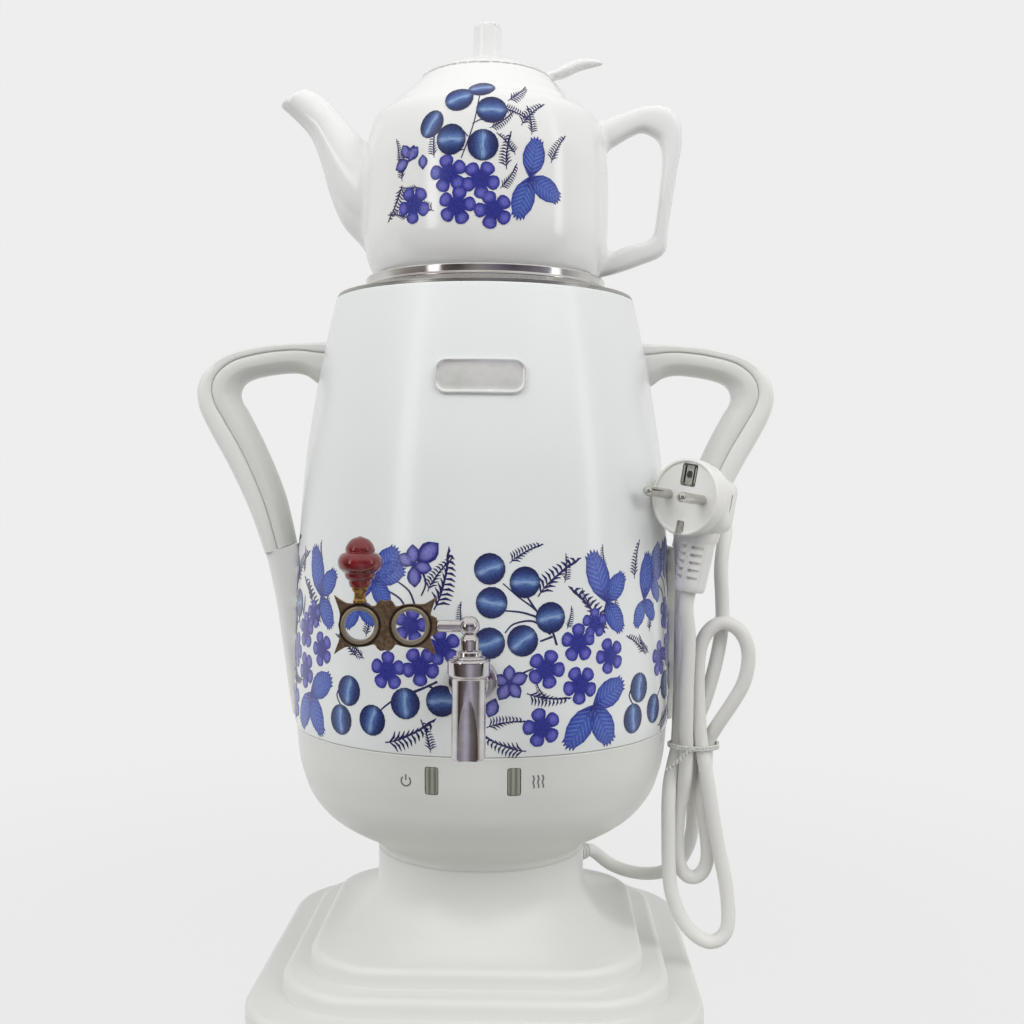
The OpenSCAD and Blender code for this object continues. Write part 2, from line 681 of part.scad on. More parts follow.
// ---- Turning parts of the tap
plug_bottom = tap_z - 9 + 0.5;
module tap_spindle() {
    neck = tap_top_z + bonnet_h + loose_fit;
    color("silver") translate([0, -tap_reach, 0]) difference() {
        union() {
            translate([0, 0, plug_bottom]) cylinder(r = tap_plug_r, h = tap_top_z - 0.3 - plug_bottom);
            translate([0, 0, tap_top_z - 1]) cylinder(r = neck_pin_r, h = neck - tap_top_z + 2);
            rotate_extrude() polygon([[0, neck], [4.1, neck], [4.1, neck + 4.4], [3.1, neck + 5.4],
                [2.6, ball_z - 2], [0, ball_z - 2]]);
            translate([0, 0, ball_z]) sphere(r = ball_r);
        }
        translate([0, 0, plug_bottom - 1]) cylinder(r = 3, h = tap_z - plug_bottom + 1);
        translate([0, 0, tap_z]) rotate([0, 90, 0]) cylinder(r = 3, h = tap_plug_r + 2);
        translate([-1, 0, ball_z]) rotate([0, -90, 0]) cylinder(r = rod_r + run_fit, h = ball_r);
    }
}
rod_r = 2.5;
rod_pin_r = 0.9;
plate_mid = -lever_reach - lever_len / 2;
ring_gap = lever_len * 0.248;
knob_x = plate_mid - ring_gap;
ring_edge = 2.7;
stem_z = ball_z + ring_hole_r + 3;

module lever_rod() {
    color("silver") translate([0, -tap_reach, ball_z]) rotate([0, -90, 0]) {
        translate([0, 0, 1]) cylinder(r = rod_r, h = lever_reach - 1 - push_fit);
        translate([0, 0, 1]) cylinder(r = rod_pin_r, h = lever_reach + 3);
    }
}

module lever_outline() {
    for (side = [-1, 1]) {
        translate([side * ring_gap, 0]) circle(ring_hole_r + ring_edge);
        for (up = [-1, 1]) polygon([
            [side * (ring_gap - 1), up * (ring_hole_r + 1)], [side * (ring_gap + 4), up * (ring_hole_r + 2.6)],
            [side * lever_len / 2, up * lever_h / 2], [side * (lever_len / 2 - 1.8), up * (ring_hole_r - 2)],
            [side * (lever_len / 2 - 2.5), up * 1], [side * (ring_gap + 3), 0]]);
    }
    square([10, 2 * ring_hole_r + 1], center = true);
    for (up = [-1, 1]) translate([0, up * (ring_hole_r + 1)]) circle(2.6);
    translate([lever_len / 2 - 3, 0]) square([6, 7], center = true);
}
module lever_plate() {
    color("darkgoldenrod") translate([plate_mid, -tap_reach, ball_z]) difference() {
        union() {
            rotate([90, 0, 0]) translate([0, 0, -lever_t / 2]) linear_extrude(lever_t) lever_outline();
            for (side = [-1, 1]) translate([side * ring_gap, lever_t / 2 + 0.5, 0]) rotate([90, 0, 0])
                cylinder(r = ring_hole_r + 1.5, h = lever_t + 1);
            translate([-ring_gap, 0, ring_hole_r + 0.8]) cylinder(r = 2.4, h = 2.2);
        }
        for (side = [-1, 1]) translate([side * ring_gap, 10, 0]) rotate([90, 0, 0])
            cylinder(r = ring_hole_r, h = 20);
        translate([lever_len / 2 - 4.2, 0, 0]) rotate([0, 90, 0]) cylinder(r = rod_pin_r + push_fit, h = 6);
        translate([-ring_gap, 0, ring_hole_r + 0.7]) cylinder(r = 1 + push_fit, h = 6);
    }
}

knob_z = stem_z + stem_h;
module knob_stem() {
    color("goldenrod") translate([knob_x, -tap_reach, stem_z]) {
        translate([0, 0, -2.2]) cylinder(r = 1, h = 3);
        rotate_extrude() polygon([[0, 0], [2.9, 0], [2.9, 1], [2.4, 1.6], [2.4, stem_h - 2.4],
            [3.4, stem_h - 1.2], [3.4, stem_h], [0, stem_h]]);
        cylinder(r = 1.5, h = stem_h + 8);
    }
}

module red_knob() {
    tiers = [[0, 0.6], [0.1, 0.66], [0.13, 0.76], [0.24, 0.83], [0.29, 0.9], [0.36, 1], [0.52, 1],
        [0.6, 0.86], [0.63, 0.66], [0.72, 0.68], [0.8, 0.56], [0.83, 0.46], [0.92, 0.42], [0.97, 0.3], [1, 0]];
    color("firebrick") translate([knob_x, -tap_reach, knob_z]) difference() {
        rotate_extrude() polygon(concat(
            smooth([for (t = tiers) [t[1] * red_knob_r, t[0] * red_knob_h]], 3), [[0, 0]]));
        translate([0, 0, -1]) cylinder(r = 1.5 + push_fit, h = 9.5);
    }
}

// ---- Lid: a steel pressing that closes the tank, with the collar that holds the teapot
lid_edge_r = rim_r - 0.8;
skirt_r = mouth_r - steel_t - loose_fit;
module boiler_lid() {
    bottom = rim_z + flange_t;
    color("silver") difference() {
        union() {
            rotate_extrude() polygon(concat(
                [[0, seat_z - steel_t], [collar_r + 1, seat_z - steel_t]],
                smooth([[collar_r + 4, seat_z - steel_t - 0.4], [skirt_r - 1, bottom + 0.3],
                    [skirt_r, bottom]], 3),
                [[lid_edge_r, bottom], [lid_edge_r, bottom + steel_t]],
                smooth([[mouth_r, bottom + steel_t + 0.3], [collar_r + 6, seat_z - 0.9],
                    [collar_r + 3.4, seat_z]], 3),
                [[0, seat_z]]));
            translate([0, 0, rim_z - 8]) ring(skirt_r, skirt_r - steel_t, 8 + flange_t + 0.4);
        }
        around(8, 30) translate([0, 0, seat_z - 5]) cylinder(r = 2.5, h = 8);
    }
}

module teapot_collar() {
    color("lightgray") translate([0, 0, seat_z]) rotate_extrude() polygon([
        [collar_r, 0], [collar_r + 3, 0], [collar_r + 3, 0.6], [collar_r + 1.2, 1.2],
        [collar_r + 1.2, collar_h - 0.6], [collar_r + 0.6, collar_h], [collar_r, collar_h]]);
}

// ---- Teapot: glazed ceramic, body, spout and handle fired in one
teapot_top = seat_z + teapot_h;
lid_ledge_r = teapot_mouth_r + 5;
teapot_shape = [[0, 0], [0.22, 0.03], [0.52, 0.075], [0.8, 0.14], [0.97, 0.23], [1, 0.34], [1, 0.48],
    [0.94, 0.62]];
teapot_dome = [[0.86, 0.775], [0.62, 0.845], [0.35, 0.91], [0.12, 0.967], [0, 1]];
function teapot_outline(in) = concat(
    [for (s = teapot_shape) [teapot_foot_r - in + s[0] * (teapot_r - teapot_foot_r),
        seat_z + in + s[1] * (teapot_h - in)]],
    [for (s = teapot_dome) [lid_ledge_r - in * (s[0] > 0.3 ? 1 : 0.9) + s[0] * (teapot_r - lid_ledge_r),
        seat_z + s[1] * teapot_h - in * (1 - s[0])]]
);

// Spout and handle stations: lower or outer edge x and z, upper or inner edge x and z, half the width
spout_stations = [
    [-54, 362, -50, 428, 20], [-64, 375.5, -58, 424, 18], [-74, 387, -63, 430, 14.5],
    [-80.5, 402, -69, 436.5, 11.5], [-84.5, 416, -75, 443, 9.5], [-90, 430.5, -81, 449.5, 8],
    [-97.5, 439.5, -87, 454, 7], [-106.5, 447.5, -93, 456.5, 6.6]
];
teapot_handle_stations = [
    [51, 438, 56, 420, 6.5], [62, 441.3, 65.5, 427.5, 6.5], [78.3, 447.2, 78, 434.5, 6.3],
    [91, 447.6, 85, 432.8, 6.2], [98.5, 441, 89, 428.5, 6], [100, 430, 90.2, 420, 6],
    [97.1, 410.7, 89.3, 408, 5.8], [93.5, 386, 86.6, 385, 5.8], [91.5, 373, 83, 379.5, 5.8],
    [78, 366.5, 74, 377, 5.8], [64, 361.8, 63, 373, 6], [55, 359.8, 55, 371, 6.3]
];
function lift(s) = [s[0], s[1] - 352.5 + seat_z, s[2], s[3] - 352.5 + seat_z, s[4]];
function oval_ring(s, in, n = 20) =
    let (mid = [s[0] + s[2], 0, s[1] + s[3]] / 2, out = [s[0] - s[2], 0, s[1] - s[3]] / 2,
        half = norm(out), reach = unit(out) * (half - in))
    [for (k = [0 : n - 1]) let (a = -360 * k / n)
        mid + reach * cos(a) + [0, (s[4] - in) * sin(a), 0]];

module teapot_body() {
    spout = smooth([for (s = spout_stations) lift(s)], 2);
    handle = smooth([for (s = teapot_handle_stations) lift(s)], 2);
    color("white") difference() {
        union() {
            rotate_extrude() polygon(concat([[0, seat_z]], smooth(teapot_outline(0), 3), [[0, teapot_top]]));
            skin([for (s = spout) oval_ring(s, 0)]);
            skin([for (s = handle) oval_ring(s, 0, 14)]);
        }
        rotate_extrude() polygon(concat(
            [[0, seat_z + teapot_wall]], smooth(teapot_outline(teapot_wall), 3),
            [[teapot_mouth_r, teapot_top - 1], [teapot_mouth_r, teapot_top + 1], [0, teapot_top + 1]]));
        skin(concat([for (i = [4 : len(spout) - 1]) oval_ring(spout[i], 2.8, 16)],
            [[for (p = oval_ring(spout[len(spout) - 1], 2.8, 16)) p + [-1.1, 0, 1.7]]]));
        for (dz = [-6, 0, 6], y = [-6, 0, 6])
            translate([-40, y, seat_z + 50 + dz]) rotate([0, -90, 0]) cylinder(r = 1.6, h = 32);
        translate([0, 0, seat_z - 1]) cylinder(r = teapot_foot_r - 5, h = 2);
    }
}
module teapot_lid() {
    dome = [[lid_ledge_r - 0.4, 0], [lid_ledge_r - 0.3, 1.2], [26, 5], [15, 8.1], [lid_knob_r + 0.6, 10.2],
        [lid_knob_r, 11.2]];
    knob_top = teapot_top + 11 + lid_knob_h;
    color("white") union() {
        difference() {
            rotate_extrude() polygon(concat([[0, teapot_top], [dome[0][0], teapot_top]],
                [for (p = smooth(dome, 3)) [p[0], p[1] + teapot_top]],
                [[lid_knob_r, knob_top - 1], [lid_knob_r - 1, knob_top], [0, knob_top]]));
            translate([0, 0, teapot_top - 1]) cylinder(r1 = 24, r2 = 8, h = 7);
            translate([0, 18, teapot_top]) cylinder(r = 1, h = 20);
        }
        translate([0, 0, teapot_top - 7]) ring(teapot_mouth_r - 2 * loose_fit, teapot_mouth_r - 4, 8);
        skin([for (s = smooth([for (t = thumb_tab) lift(t)], 2)) oval_ring(s, 0, 14)]);
    }
}
thumb_tab = [[27, 463.9, 28, 461.2, 6], [33, 465.5, 35.5, 461.5, 5.6], [38.5, 468.8, 41.5, 463.1, 5],
    [45.5, 471.7, 47, 465.7, 4.2], [53, 472.3, 53, 467.3, 3.2], [60, 470.5, 59, 468.7, 1.6]];

// ---- Mains cord: out of the gland, over the step, up beside the body, hooked over the handle,
// and gathered in loops by a tie
tie_z = 125;
route = [
    gland_end, gland_end + 3 * gland_out, [62, 61.8, 44.6], [70, 60.5, 38.5], [80, 57, 35.5],
    [90, 52.5, 35.5], [99, 45, 39],
    [106, 35, 47], [109, 21, 58], [110, 7, 70.5], [109.5, -4, 84], [108.5, -11.5, 98], [107, -16.5, 111],
    [106.6, -21, 125], [108.5, -21, 136], [113, -21, 148], [117.8, -21, 166], [120.8, -20, 184],
    [120.8, -18.5, 198], [120.3, -17, 212], [122, -12.5, 224], [124.3, -5, 231], [124, 4, 235.5],
    [120.5, 12.5, 239.5], [114, 16.8, 243.5], [106, 15.5, 247.5], [100, 9.5, 250.5], [98, 1, 251.5],
    [98, -7, 249], [99, -14, 240], [100, -17.5, 226], [100.5, -19, 208], [100.3, -20.5, 180],
    [100, -21, 150], [99.2, -21, 125], [97.5, -21.5, 116], [95.2, -24, 106], [94.3, -26.5, 95],
    [94.4, -27, 80], [94.8, -27, 65], [96, -27, 52.5], [99.5, -27, 42], [104, -27, 34.3],
    [109.3, -27, 29.2], [115, -27, 26.4], [120.5, -27, 27.8], [123.9, -27, 32.2], [124.8, -27, 39],
    [124.2, -27, 48], [122.5, -27, 60], [119.5, -27, 73], [116.3, -28, 90], [113.3, -28.5, 108],
    [110.3, -27.8, 125], [109.2, -28.2, 134], [108, -28.2, 153], [108.2, -28, 169], [109.9, -28, 177.3],
    [113.8, -28, 183.6], [120, -28, 186.8], [127, -28, 184], [131.5, -28, 177.5], [133, -28, 169],
    [130.8, -28, 157], [125, -27, 146], [118.5, -24.5, 135], [114, -21, 125], [113.2, -21, 112],
    [111.8, -20.5, 101], [112.3, -20.2, 92], [113.6, -20, 83], [115, -20, 71], [114.6, -20, 64],
    [112, -20, 58.6], [107.5, -20, 56.3], [103, -20, 58.8], [100.5, -20, 64.8], [99.6, -20, 75],
    [100, -20.5, 88], [101.5, -22.7, 99], [102.5, -26.5, 110], [102.9, -27.7, 125], [102.2, -30.2, 132],
    [101.9, -33, 143], [101.8, -34.8, 158], [102.2, -36.8, 180]
];
cord_end_y = -45;
plug_place = [97, -55, 249];
plug_turn = -40;
plug_tilt = -5;
plug_roll = -8;
relief_z = -19;
function turned(p) =
    let (a = [p[0], p[1] * cos(plug_tilt) - p[2] * sin(plug_tilt),
            p[1] * sin(plug_tilt) + p[2] * cos(plug_tilt)],
        b = [a[0] * cos(plug_roll) - a[1] * sin(plug_roll),
            a[0] * sin(plug_roll) + a[1] * cos(plug_roll), a[2]],
        c = [b[0], -b[2], b[1]])
    [c[0] * cos(plug_turn) - c[1] * sin(plug_turn), c[0] * sin(plug_turn) + c[1] * cos(plug_turn), c[2]];
cord_end = plug_place + turned([0, cord_end_y, relief_z]);
cord_before_end = plug_place + turned([0, cord_end_y - 8, relief_z]);
cord_route = concat(route, [cord_before_end, cord_end]);

module power_cord() {
    line = smooth([for (i = [1 : len(cord_route) - 2]) cord_route[i]], 3);
    color("white")
        skin(tube_rings(concat([gland_end, line[0]], kept(line, 1, 0), [cord_end]), cord_d / 2, 8));
}

module cord_tie() {
    color("white") translate([106.6, -24.35, tie_z - 1.5]) difference() {
        rounded_plate(13, 8.9, 5.9, 3);
        translate([0, 0, -1]) rounded_plate(12.4, 8.3, 5.3, 5);
    }
}

// ---- Plug: a right-angle moulding with two pins, earth clips and a ribbed strain relief
module plug_place() {
    translate(plug_place) rotate([0, 0, plug_turn]) rotate([90, 0, 0])
        rotate([plug_tilt, 0, plug_roll]) children();
}
module plug_body() {
    color("white") plug_place() difference() {
        union() {
            translate([0, 0, -8]) cylinder(r = plug_r, h = 8 - 0.6);
            translate([0, 0, -0.6]) cylinder(r1 = plug_r, r2 = plug_r - 0.6, h = 0.6);
            hull() {
                translate([0, 0, -11]) cylinder(r = plug_r - 1, h = 3, $fn = 32);
                translate([0, -2, -plug_depth]) rounded_plate(13, 13, 6, 4, $fn = 32);
            }
            translate([0, -13, relief_z]) rotate([90, 0, 0]) rotate_extrude() polygon(concat(
                [[0, 0], [8.6, 0], [8.6, 5]],
                [for (i = [0 : 4]) each [[8.2 - i * 0.4, 7 + i * 4.6], [6 - i * 0.2, 7.4 + i * 4.6],
                    [6 - i * 0.2, 8.8 + i * 4.6], [8 - i * 0.4, 9.2 + i * 4.6]]],
                [[6.2, -cord_end_y - 13 - 1], [5.4, -cord_end_y - 13], [0, -cord_end_y - 13]]));
        }
        for (side = [-1, 1]) {
            translate([side * pin_len / 2, 0, -12]) cylinder(r = pin_d / 2 + push_fit, h = 14);
            translate([0, side * (plug_r - 3.4), -6]) linear_extrude(8) square([6.4, 8], center = true);
        }
        translate([0, 10.6, -15]) cylinder(r = 2.5, h = 20);
    }
}

module plug_pins() {
    color("silver") plug_place() for (side = [-1, 1]) translate([side * pin_len / 2, 0, -12]) {
        cylinder(r = pin_d / 2, h = 12 + pin_len - 1);
        translate([0, 0, 11 + pin_len]) cylinder(r1 = pin_d / 2, r2 = pin_d / 2 - 1, h = 1);
    }
}

module earth_clips() {
    color("silver") plug_place() for (side = [-1, 1])
        translate([0, side * (plug_r - 3.4), -5.9]) difference() {
            linear_extrude(5.4) square([6.2, 7.8], center = true);
            translate([0, -side * 1.6, -1]) linear_extrude(8) square([4.6, 7], center = true);
        }
}

base_pedestal();
base_plate();
base_screws();
rubber_feet();
cord_gland();
inner_lead();
pedestal_screws();
lower_housing();
tank_studs();
tank_nuts();
terminal_block();
boil_element();
warm_element();
thermostat();
thermal_cutout();
power_lens();
heat_lens();
pilot_lamps();
outer_shell();
water_tank();
left_handle_cover();
left_handle_grip();
right_handle_cover();
right_handle_grip();
handle_screws();
badge_plate();
tap_body();
tap_bonnet();
tap_washer();
tap_seal();
tap_nut();
tap_spindle();
lever_rod();
lever_plate();
knob_stem();
red_knob();
boiler_lid();
teapot_collar();
teapot_body();
teapot_lid();
power_cord();
cord_tie();
plug_body();
plug_pins();
earth_clips();
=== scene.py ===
"""Looks of an electric samovar: a painted steel body on a stepped pedestal, with a chromed tap,
a mains cord hooked over its handle and a porcelain teapot on its lid."""
import math

import bmesh
import bpy
import numpy as np
from mathutils import Matrix, Vector


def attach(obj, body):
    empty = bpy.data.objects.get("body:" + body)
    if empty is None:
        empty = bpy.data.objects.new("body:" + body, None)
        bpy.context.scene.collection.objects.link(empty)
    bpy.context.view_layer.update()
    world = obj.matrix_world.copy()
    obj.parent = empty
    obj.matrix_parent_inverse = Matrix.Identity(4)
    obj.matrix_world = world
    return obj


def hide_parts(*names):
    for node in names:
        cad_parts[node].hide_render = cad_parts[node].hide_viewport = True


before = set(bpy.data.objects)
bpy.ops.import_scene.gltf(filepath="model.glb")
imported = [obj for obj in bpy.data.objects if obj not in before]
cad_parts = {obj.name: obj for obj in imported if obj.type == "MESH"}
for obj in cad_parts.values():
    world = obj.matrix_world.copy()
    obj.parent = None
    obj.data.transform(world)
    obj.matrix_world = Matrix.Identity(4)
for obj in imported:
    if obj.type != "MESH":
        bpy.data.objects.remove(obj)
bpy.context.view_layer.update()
scene = bpy.context.scene
scene.view_settings.view_transform = "Standard"
MM = 0.001

# ---- Camera ---------------------------------------------------------------------------------
# It stands 65 cm in front of the body's middle, level with the painted shell, turned a little to
# the right and tilted down by a degree and a half.
CAMERA_AT = (0.02835, -0.6494, 0.257)
FOCAL_PIXELS, PICTURE_PIXELS, SENSOR = 1255, 1024, 36
turn, pan, pitch, roll = (math.radians(a) for a in (2.5, 1.286, 1.53, 0.47))


def turned(x, y):
    return Vector((math.cos(turn) * x - math.sin(turn) * y, math.sin(turn) * x + math.cos(turn) * y, 0))


side = turned(math.cos(pan), -math.sin(pan))
ahead = turned(math.sin(pan), math.cos(pan))
up = Vector((0, 0, 1))
ahead, up = ahead * math.cos(pitch) - up * math.sin(pitch), ahead * math.sin(pitch) + up * math.cos(pitch)
side, up = side * math.cos(roll) + up * math.sin(roll), up * math.cos(roll) - side * math.sin(roll)
camera = bpy.data.objects.new("camera", bpy.data.cameras.new("camera"))
camera.data.sensor_width = SENSOR
camera.data.lens = FOCAL_PIXELS / PICTURE_PIXELS * SENSOR
camera.data.clip_start, camera.data.clip_end = 0.02, 50
camera.matrix_world = Matrix.Translation(CAMERA_AT) @ Matrix((side, up, -ahead)).transposed().to_4x4()
scene.collection.objects.link(camera)
scene.camera = camera


# ---- Mains cord -----------------------------------------------------------------------------
# A 7 mm round lead in soft white PVC. It leaves the gland at the back right of the pedestal,
# rests on the step, goes up beside the body and over the right handle, and hangs in long loops.
CORD_RADIUS = 3.5
CORD_ROUTE = [
    (56.57, 56.57, 47), (58.69, 58.69, 47), (62, 61.8, 44.6), (70, 60.5, 38.5), (80, 57, 35.5),
    (90, 52.5, 35.5), (99, 45, 39), (106, 35, 47), (109, 21, 58), (110, 7, 70.5), (109.5, -4, 84),
    (108.5, -11.5, 98), (107, -16.5, 111), (106.6, -21, 125), (108.5, -21, 136), (113, -21, 148),
    (117.8, -21, 166), (120.8, -20, 184), (120.8, -18.5, 198), (120.3, -17, 212), (122, -12.5, 224),
    (124.3, -5, 231), (124, 4, 235.5), (120.5, 12.5, 239.5), (114, 16.8, 243.5), (106, 15.5, 247.5),
    (100, 9.5, 250.5), (98, 1, 251.5), (98, -7, 249), (99, -14, 240), (100, -17.5, 226),
    (100.5, -19, 208), (100.3, -20.5, 180), (100, -21, 150), (99.2, -21, 125), (97.5, -21.5, 116),
    (95.2, -24, 106), (94.3, -26.5, 95), (94.4, -27, 80), (94.8, -27, 65), (96, -27, 52.5),
    (99.5, -27, 42), (104, -27, 34.3), (109.3, -27, 29.2), (115, -27, 26.4), (120.5, -27, 27.8),
    (123.9, -27, 32.2), (124.8, -27, 39), (124.2, -27, 48), (122.5, -27, 60), (119.5, -27, 73),
    (116.3, -28, 90), (113.3, -28.5, 108), (110.3, -27.8, 125), (109.2, -28.2, 134),
    (108, -28.2, 153), (108.2, -28, 169), (109.9, -28, 177.3), (113.8, -28, 183.6),
    (120, -28, 186.8), (127, -28, 184), (131.5, -28, 177.5), (133, -28, 169), (130.8, -28, 157),
    (125, -27, 146), (118.5, -24.5, 135), (114, -21, 125), (113.2, -21, 112), (111.8, -20.5, 101),
    (112.3, -20.2, 92), (113.6, -20, 83), (115, -20, 71), (114.6, -20, 64), (112, -20, 58.6),
    (107.5, -20, 56.3), (103, -20, 58.8), (100.5, -20, 64.8), (99.6, -20, 75), (100, -20.5, 88),
    (101.5, -22.7, 99), (102.5, -26.5, 110), (102.9, -27.7, 125), (102.2, -30.2, 132),
    (101.9, -33, 143), (101.8, -34.8, 158), (102.2, -36.8, 180), (100.392, -39.168, 195.076),
    (101.69, -39.347, 202.968),
]


def through(points, steps):
    """A smooth line through the points, with so many steps between two of them."""
    p = np.asarray(points, float)
    p = np.vstack([p[:1], p, p[-1:]])
    t = np.linspace(0, 1, steps, endpoint=False)[:, None]
    spans = [0.5 * (2 * b + (c - a) * t + (2 * a - 5 * b + 4 * c - d) * t ** 2
                    + (3 * b - a - 3 * c + d) * t ** 3)
             for a, b, c, d in zip(p, p[1:], p[2:], p[3:])]
    return np.vstack([*spans, p[-2:-1]])


def travelled(line):
    return np.concatenate([[0], np.cumsum(np.linalg.norm(np.diff(line, axis=0), axis=1))])


def spaced(line, spacing):
    """The same line with points at even distances."""
    along = travelled(line)
    want = np.linspace(0, along[-1], max(2, round(along[-1] / spacing) + 1))
    return np.stack([np.interp(want, along, column) for column in np.asarray(line).T], 1)


def colour(code):
    """A screen colour such as "e8e6df" as the linear colour that a shader takes."""
    parts = [int(code[i:i + 2], 16) / 255 for i in (0, 2, 4)]
    return (*(c / 12.92 if c <= 0.04045 else ((c + 0.055) / 1.055) ** 2.4 for c in parts), 1)


def add(tree, kind, inputs=None, **settings):
    """A node with its settings, and its inputs set to a value or joined to another node."""
    made = tree.nodes.new(kind)
    for name, value in settings.items():
        setattr(made, name, value)
    for name, value in (inputs or {}).items():
        if isinstance(value, bpy.types.NodeSocket):
            tree.links.new(value, made.inputs[name])
        else:
            made.inputs[name].default_value = value
    return made


def finish(name, **fixed):
    """A new material, its tree and its shader, with the shader's plain values set."""
    made = bpy.data.materials.new(name)
    made.use_nodes = True
    shader = made.node_tree.nodes["Principled BSDF"]
    for key, value in fixed.items():
        shader.inputs[key.replace("_", " ").title().replace("Ior", "IOR")].default_value = value
    return made, made.node_tree, shader


def place_of(tree, stretch=(1, 1, 1)):
    """Object coordinates in metres, stretched."""
    where = add(tree, "ShaderNodeTexCoord").outputs["Object"]
    return add(tree, "ShaderNodeMapping", {"Vector": where, "Scale": stretch}).outputs[0]


def noise(tree, where, scale, detail=3, rough=0.5):
    return add(tree, "ShaderNodeTexNoise", {
        "Vector": where, "Scale": scale, "Detail": detail, "Roughness": rough}).outputs["Fac"]


def ramp(tree, value, stops):
    """A colour for each value: stops are (value, shade), each shade a level or a screen colour."""
    made = add(tree, "ShaderNodeValToRGB", {0: value})
    while len(made.color_ramp.elements) < len(stops):
        made.color_ramp.elements.new(1)
    for element, (at, shade) in zip(made.color_ramp.elements, stops):
        element.position = at
        element.color = colour(shade) if isinstance(shade, str) else (shade, shade, shade, 1)
    return made.outputs[0]


def toned(tree, shader, value, shades, gloss=(), smear=None):
    """The colour follows a value by its shades; the roughness follows it, or a smear, by its gloss."""
    tree.links.new(ramp(tree, value, shades), shader.inputs["Base Color"])
    if gloss:
        tree.links.new(ramp(tree, value if smear is None else smear, gloss), shader.inputs["Roughness"])


def relief(tree, shader, height, depth, strength):
    """Fine relief of so many metres on the shader's surface."""
    made = add(tree, "ShaderNodeBump", {"Height": height, "Distance": depth, "Strength": strength})
    tree.links.new(made.outputs[0], shader.inputs["Normal"])


def moulded(name, pale, dark, rough, grain, depth, coat=0.0):
    """Moulded plastic or rubber: faint clouds of tone, smears in its gloss and a fine grain."""
    made, tree, shader = finish(name, ior=1.47, coat_weight=coat, coat_roughness=0.15)
    where = place_of(tree)
    toned(tree, shader, noise(tree, where, 9, 1), [(0.25, dark), (0.75, pale)],
          [(0.2, rough * 0.93), (0.8, rough * 1.07)], noise(tree, where, 450, 2))
    relief(tree, shader, noise(tree, where, grain / 5, 1), depth, 0.2)
    return made


def solid(name, points, faces, material, crease=35):
    """An object from points in millimetres, its faces turned outwards; edges over crease stay sharp."""
    mesh = bpy.data.meshes.new(name)
    mesh.from_pydata((np.asarray(points, float) * MM).tolist(), [], faces)
    work = bmesh.new()
    work.from_mesh(mesh)
    bmesh.ops.recalc_face_normals(work, faces=work.faces)
    work.to_mesh(mesh)
    work.free()
    mesh.shade_smooth()
    mesh.set_sharp_from_angle(angle=math.radians(crease))
    mesh.materials.append(material)
    made = bpy.data.objects.new(name, mesh)
    scene.collection.objects.link(made)
    return made


def loft(rings):
    """Points and faces of a closed skin over rings of equally many points."""
    rings = np.asarray(rings, float)
    rows, count = rings.shape[:2]
    faces = [tuple(range(count))[::-1], tuple((rows - 1) * count + i for i in range(count))]
    for j in range(rows - 1):
        for i in range(count):
            k = (i + 1) % count
            faces.append((j * count + i, j * count + k, (j + 1) * count + k, (j + 1) * count + i))
    return rings.reshape(-1, 3), faces


def tube(line, radius, sides):
    """Rings square to a line; radius is one number or one for each point."""
    line = np.asarray(line, float)
    radius = np.broadcast_to(radius, len(line))
    ahead = np.gradient(line, axis=0)
    ahead /= np.linalg.norm(ahead, axis=1)[:, None]
    across = np.cross(ahead[0], (0.3, 0.2, 1) if abs(ahead[0][2]) < 0.9 else (1, 0, 0))
    rings = []
    angles = np.linspace(0, 2 * math.pi, sides, endpoint=False)
    for point, heading, r in zip(line, ahead, radius):
        across = across - across.dot(heading) * heading
        across /= np.linalg.norm(across)
        other = np.cross(heading, across)
        rings.append(point + r * (np.cos(angles)[:, None] * across + np.sin(angles)[:, None] * other))
    return rings


def eased(line, passes):
    """A line with its small kinks smoothed, its first and last points kept."""
    line = line.copy()
    for _ in range(passes):
        line[2:-2] = 0.25 * line[1:-3] + 0.5 * line[2:-2] + 0.25 * line[3:-1]
    return line


cord_line = eased(spaced(through(CORD_ROUTE, 8), 1.6), 4)
cord_pvc = moulded("soft_white_pvc", "e9e8e4", "dddcd8", 0.42, 3400, 1.5e-5)
mains_cord = solid("mains_cord", *loft(tube(cord_line, CORD_RADIUS, 20)), cord_pvc, 50)
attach(mains_cord, "boiler")
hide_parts("power_cord")

# ---- Cord tie -------------------------------------------------------------------------------
# A thin wire in clear plastic wound twice round the gathered cord, its ends twisted together
# into a short tail. It was put on when the cord was packed.
TIE_X, TIE_Y, TIE_Z, TIE_HALF_X, TIE_HALF_Y, TIE_RISE = 106.6, -24.35, 123.9, 12.2, 8.1, 2.2
TAIL_X, TAIL_Y, TAIL_Z, STRAND_R = 104.6, -33.4, 124.6, 0.75


def flattened(share):
    """A cosine or sine drawn out towards its ends, which makes a rounded square of a circle."""
    return math.copysign(abs(share) ** 0.75, share)


tie_wrap = []
for k in range(97):
    a = 2 * math.pi * k / 48
    tie_wrap.append((TIE_X + TIE_HALF_X * flattened(math.cos(a)), TIE_Y - TIE_HALF_Y * flattened(math.sin(a)),
                     TIE_Z + TIE_RISE * k / 96 + 0.3 * math.sin(3 * a)))
twist = []
for strand in (0, math.pi):
    twist.append([(TAIL_X - 0.42 * k + STRAND_R * math.cos(k * 0.8 + strand),
                   TAIL_Y - 0.12 * k + STRAND_R * math.sin(k * 0.8 + strand),
                   TAIL_Z - 0.34 * k) for k in range(30)])
clear_plastic, tree, shader = finish("clear_wire_jacket", ior=1.46, transmission_weight=0.25)
cloudy = noise(tree, place_of(tree), 900, 3)
toned(tree, shader, cloudy, [(0.35, "d9d8d2"), (0.7, "f0efec")], [(0.3, 0.18), (0.8, 0.34)])


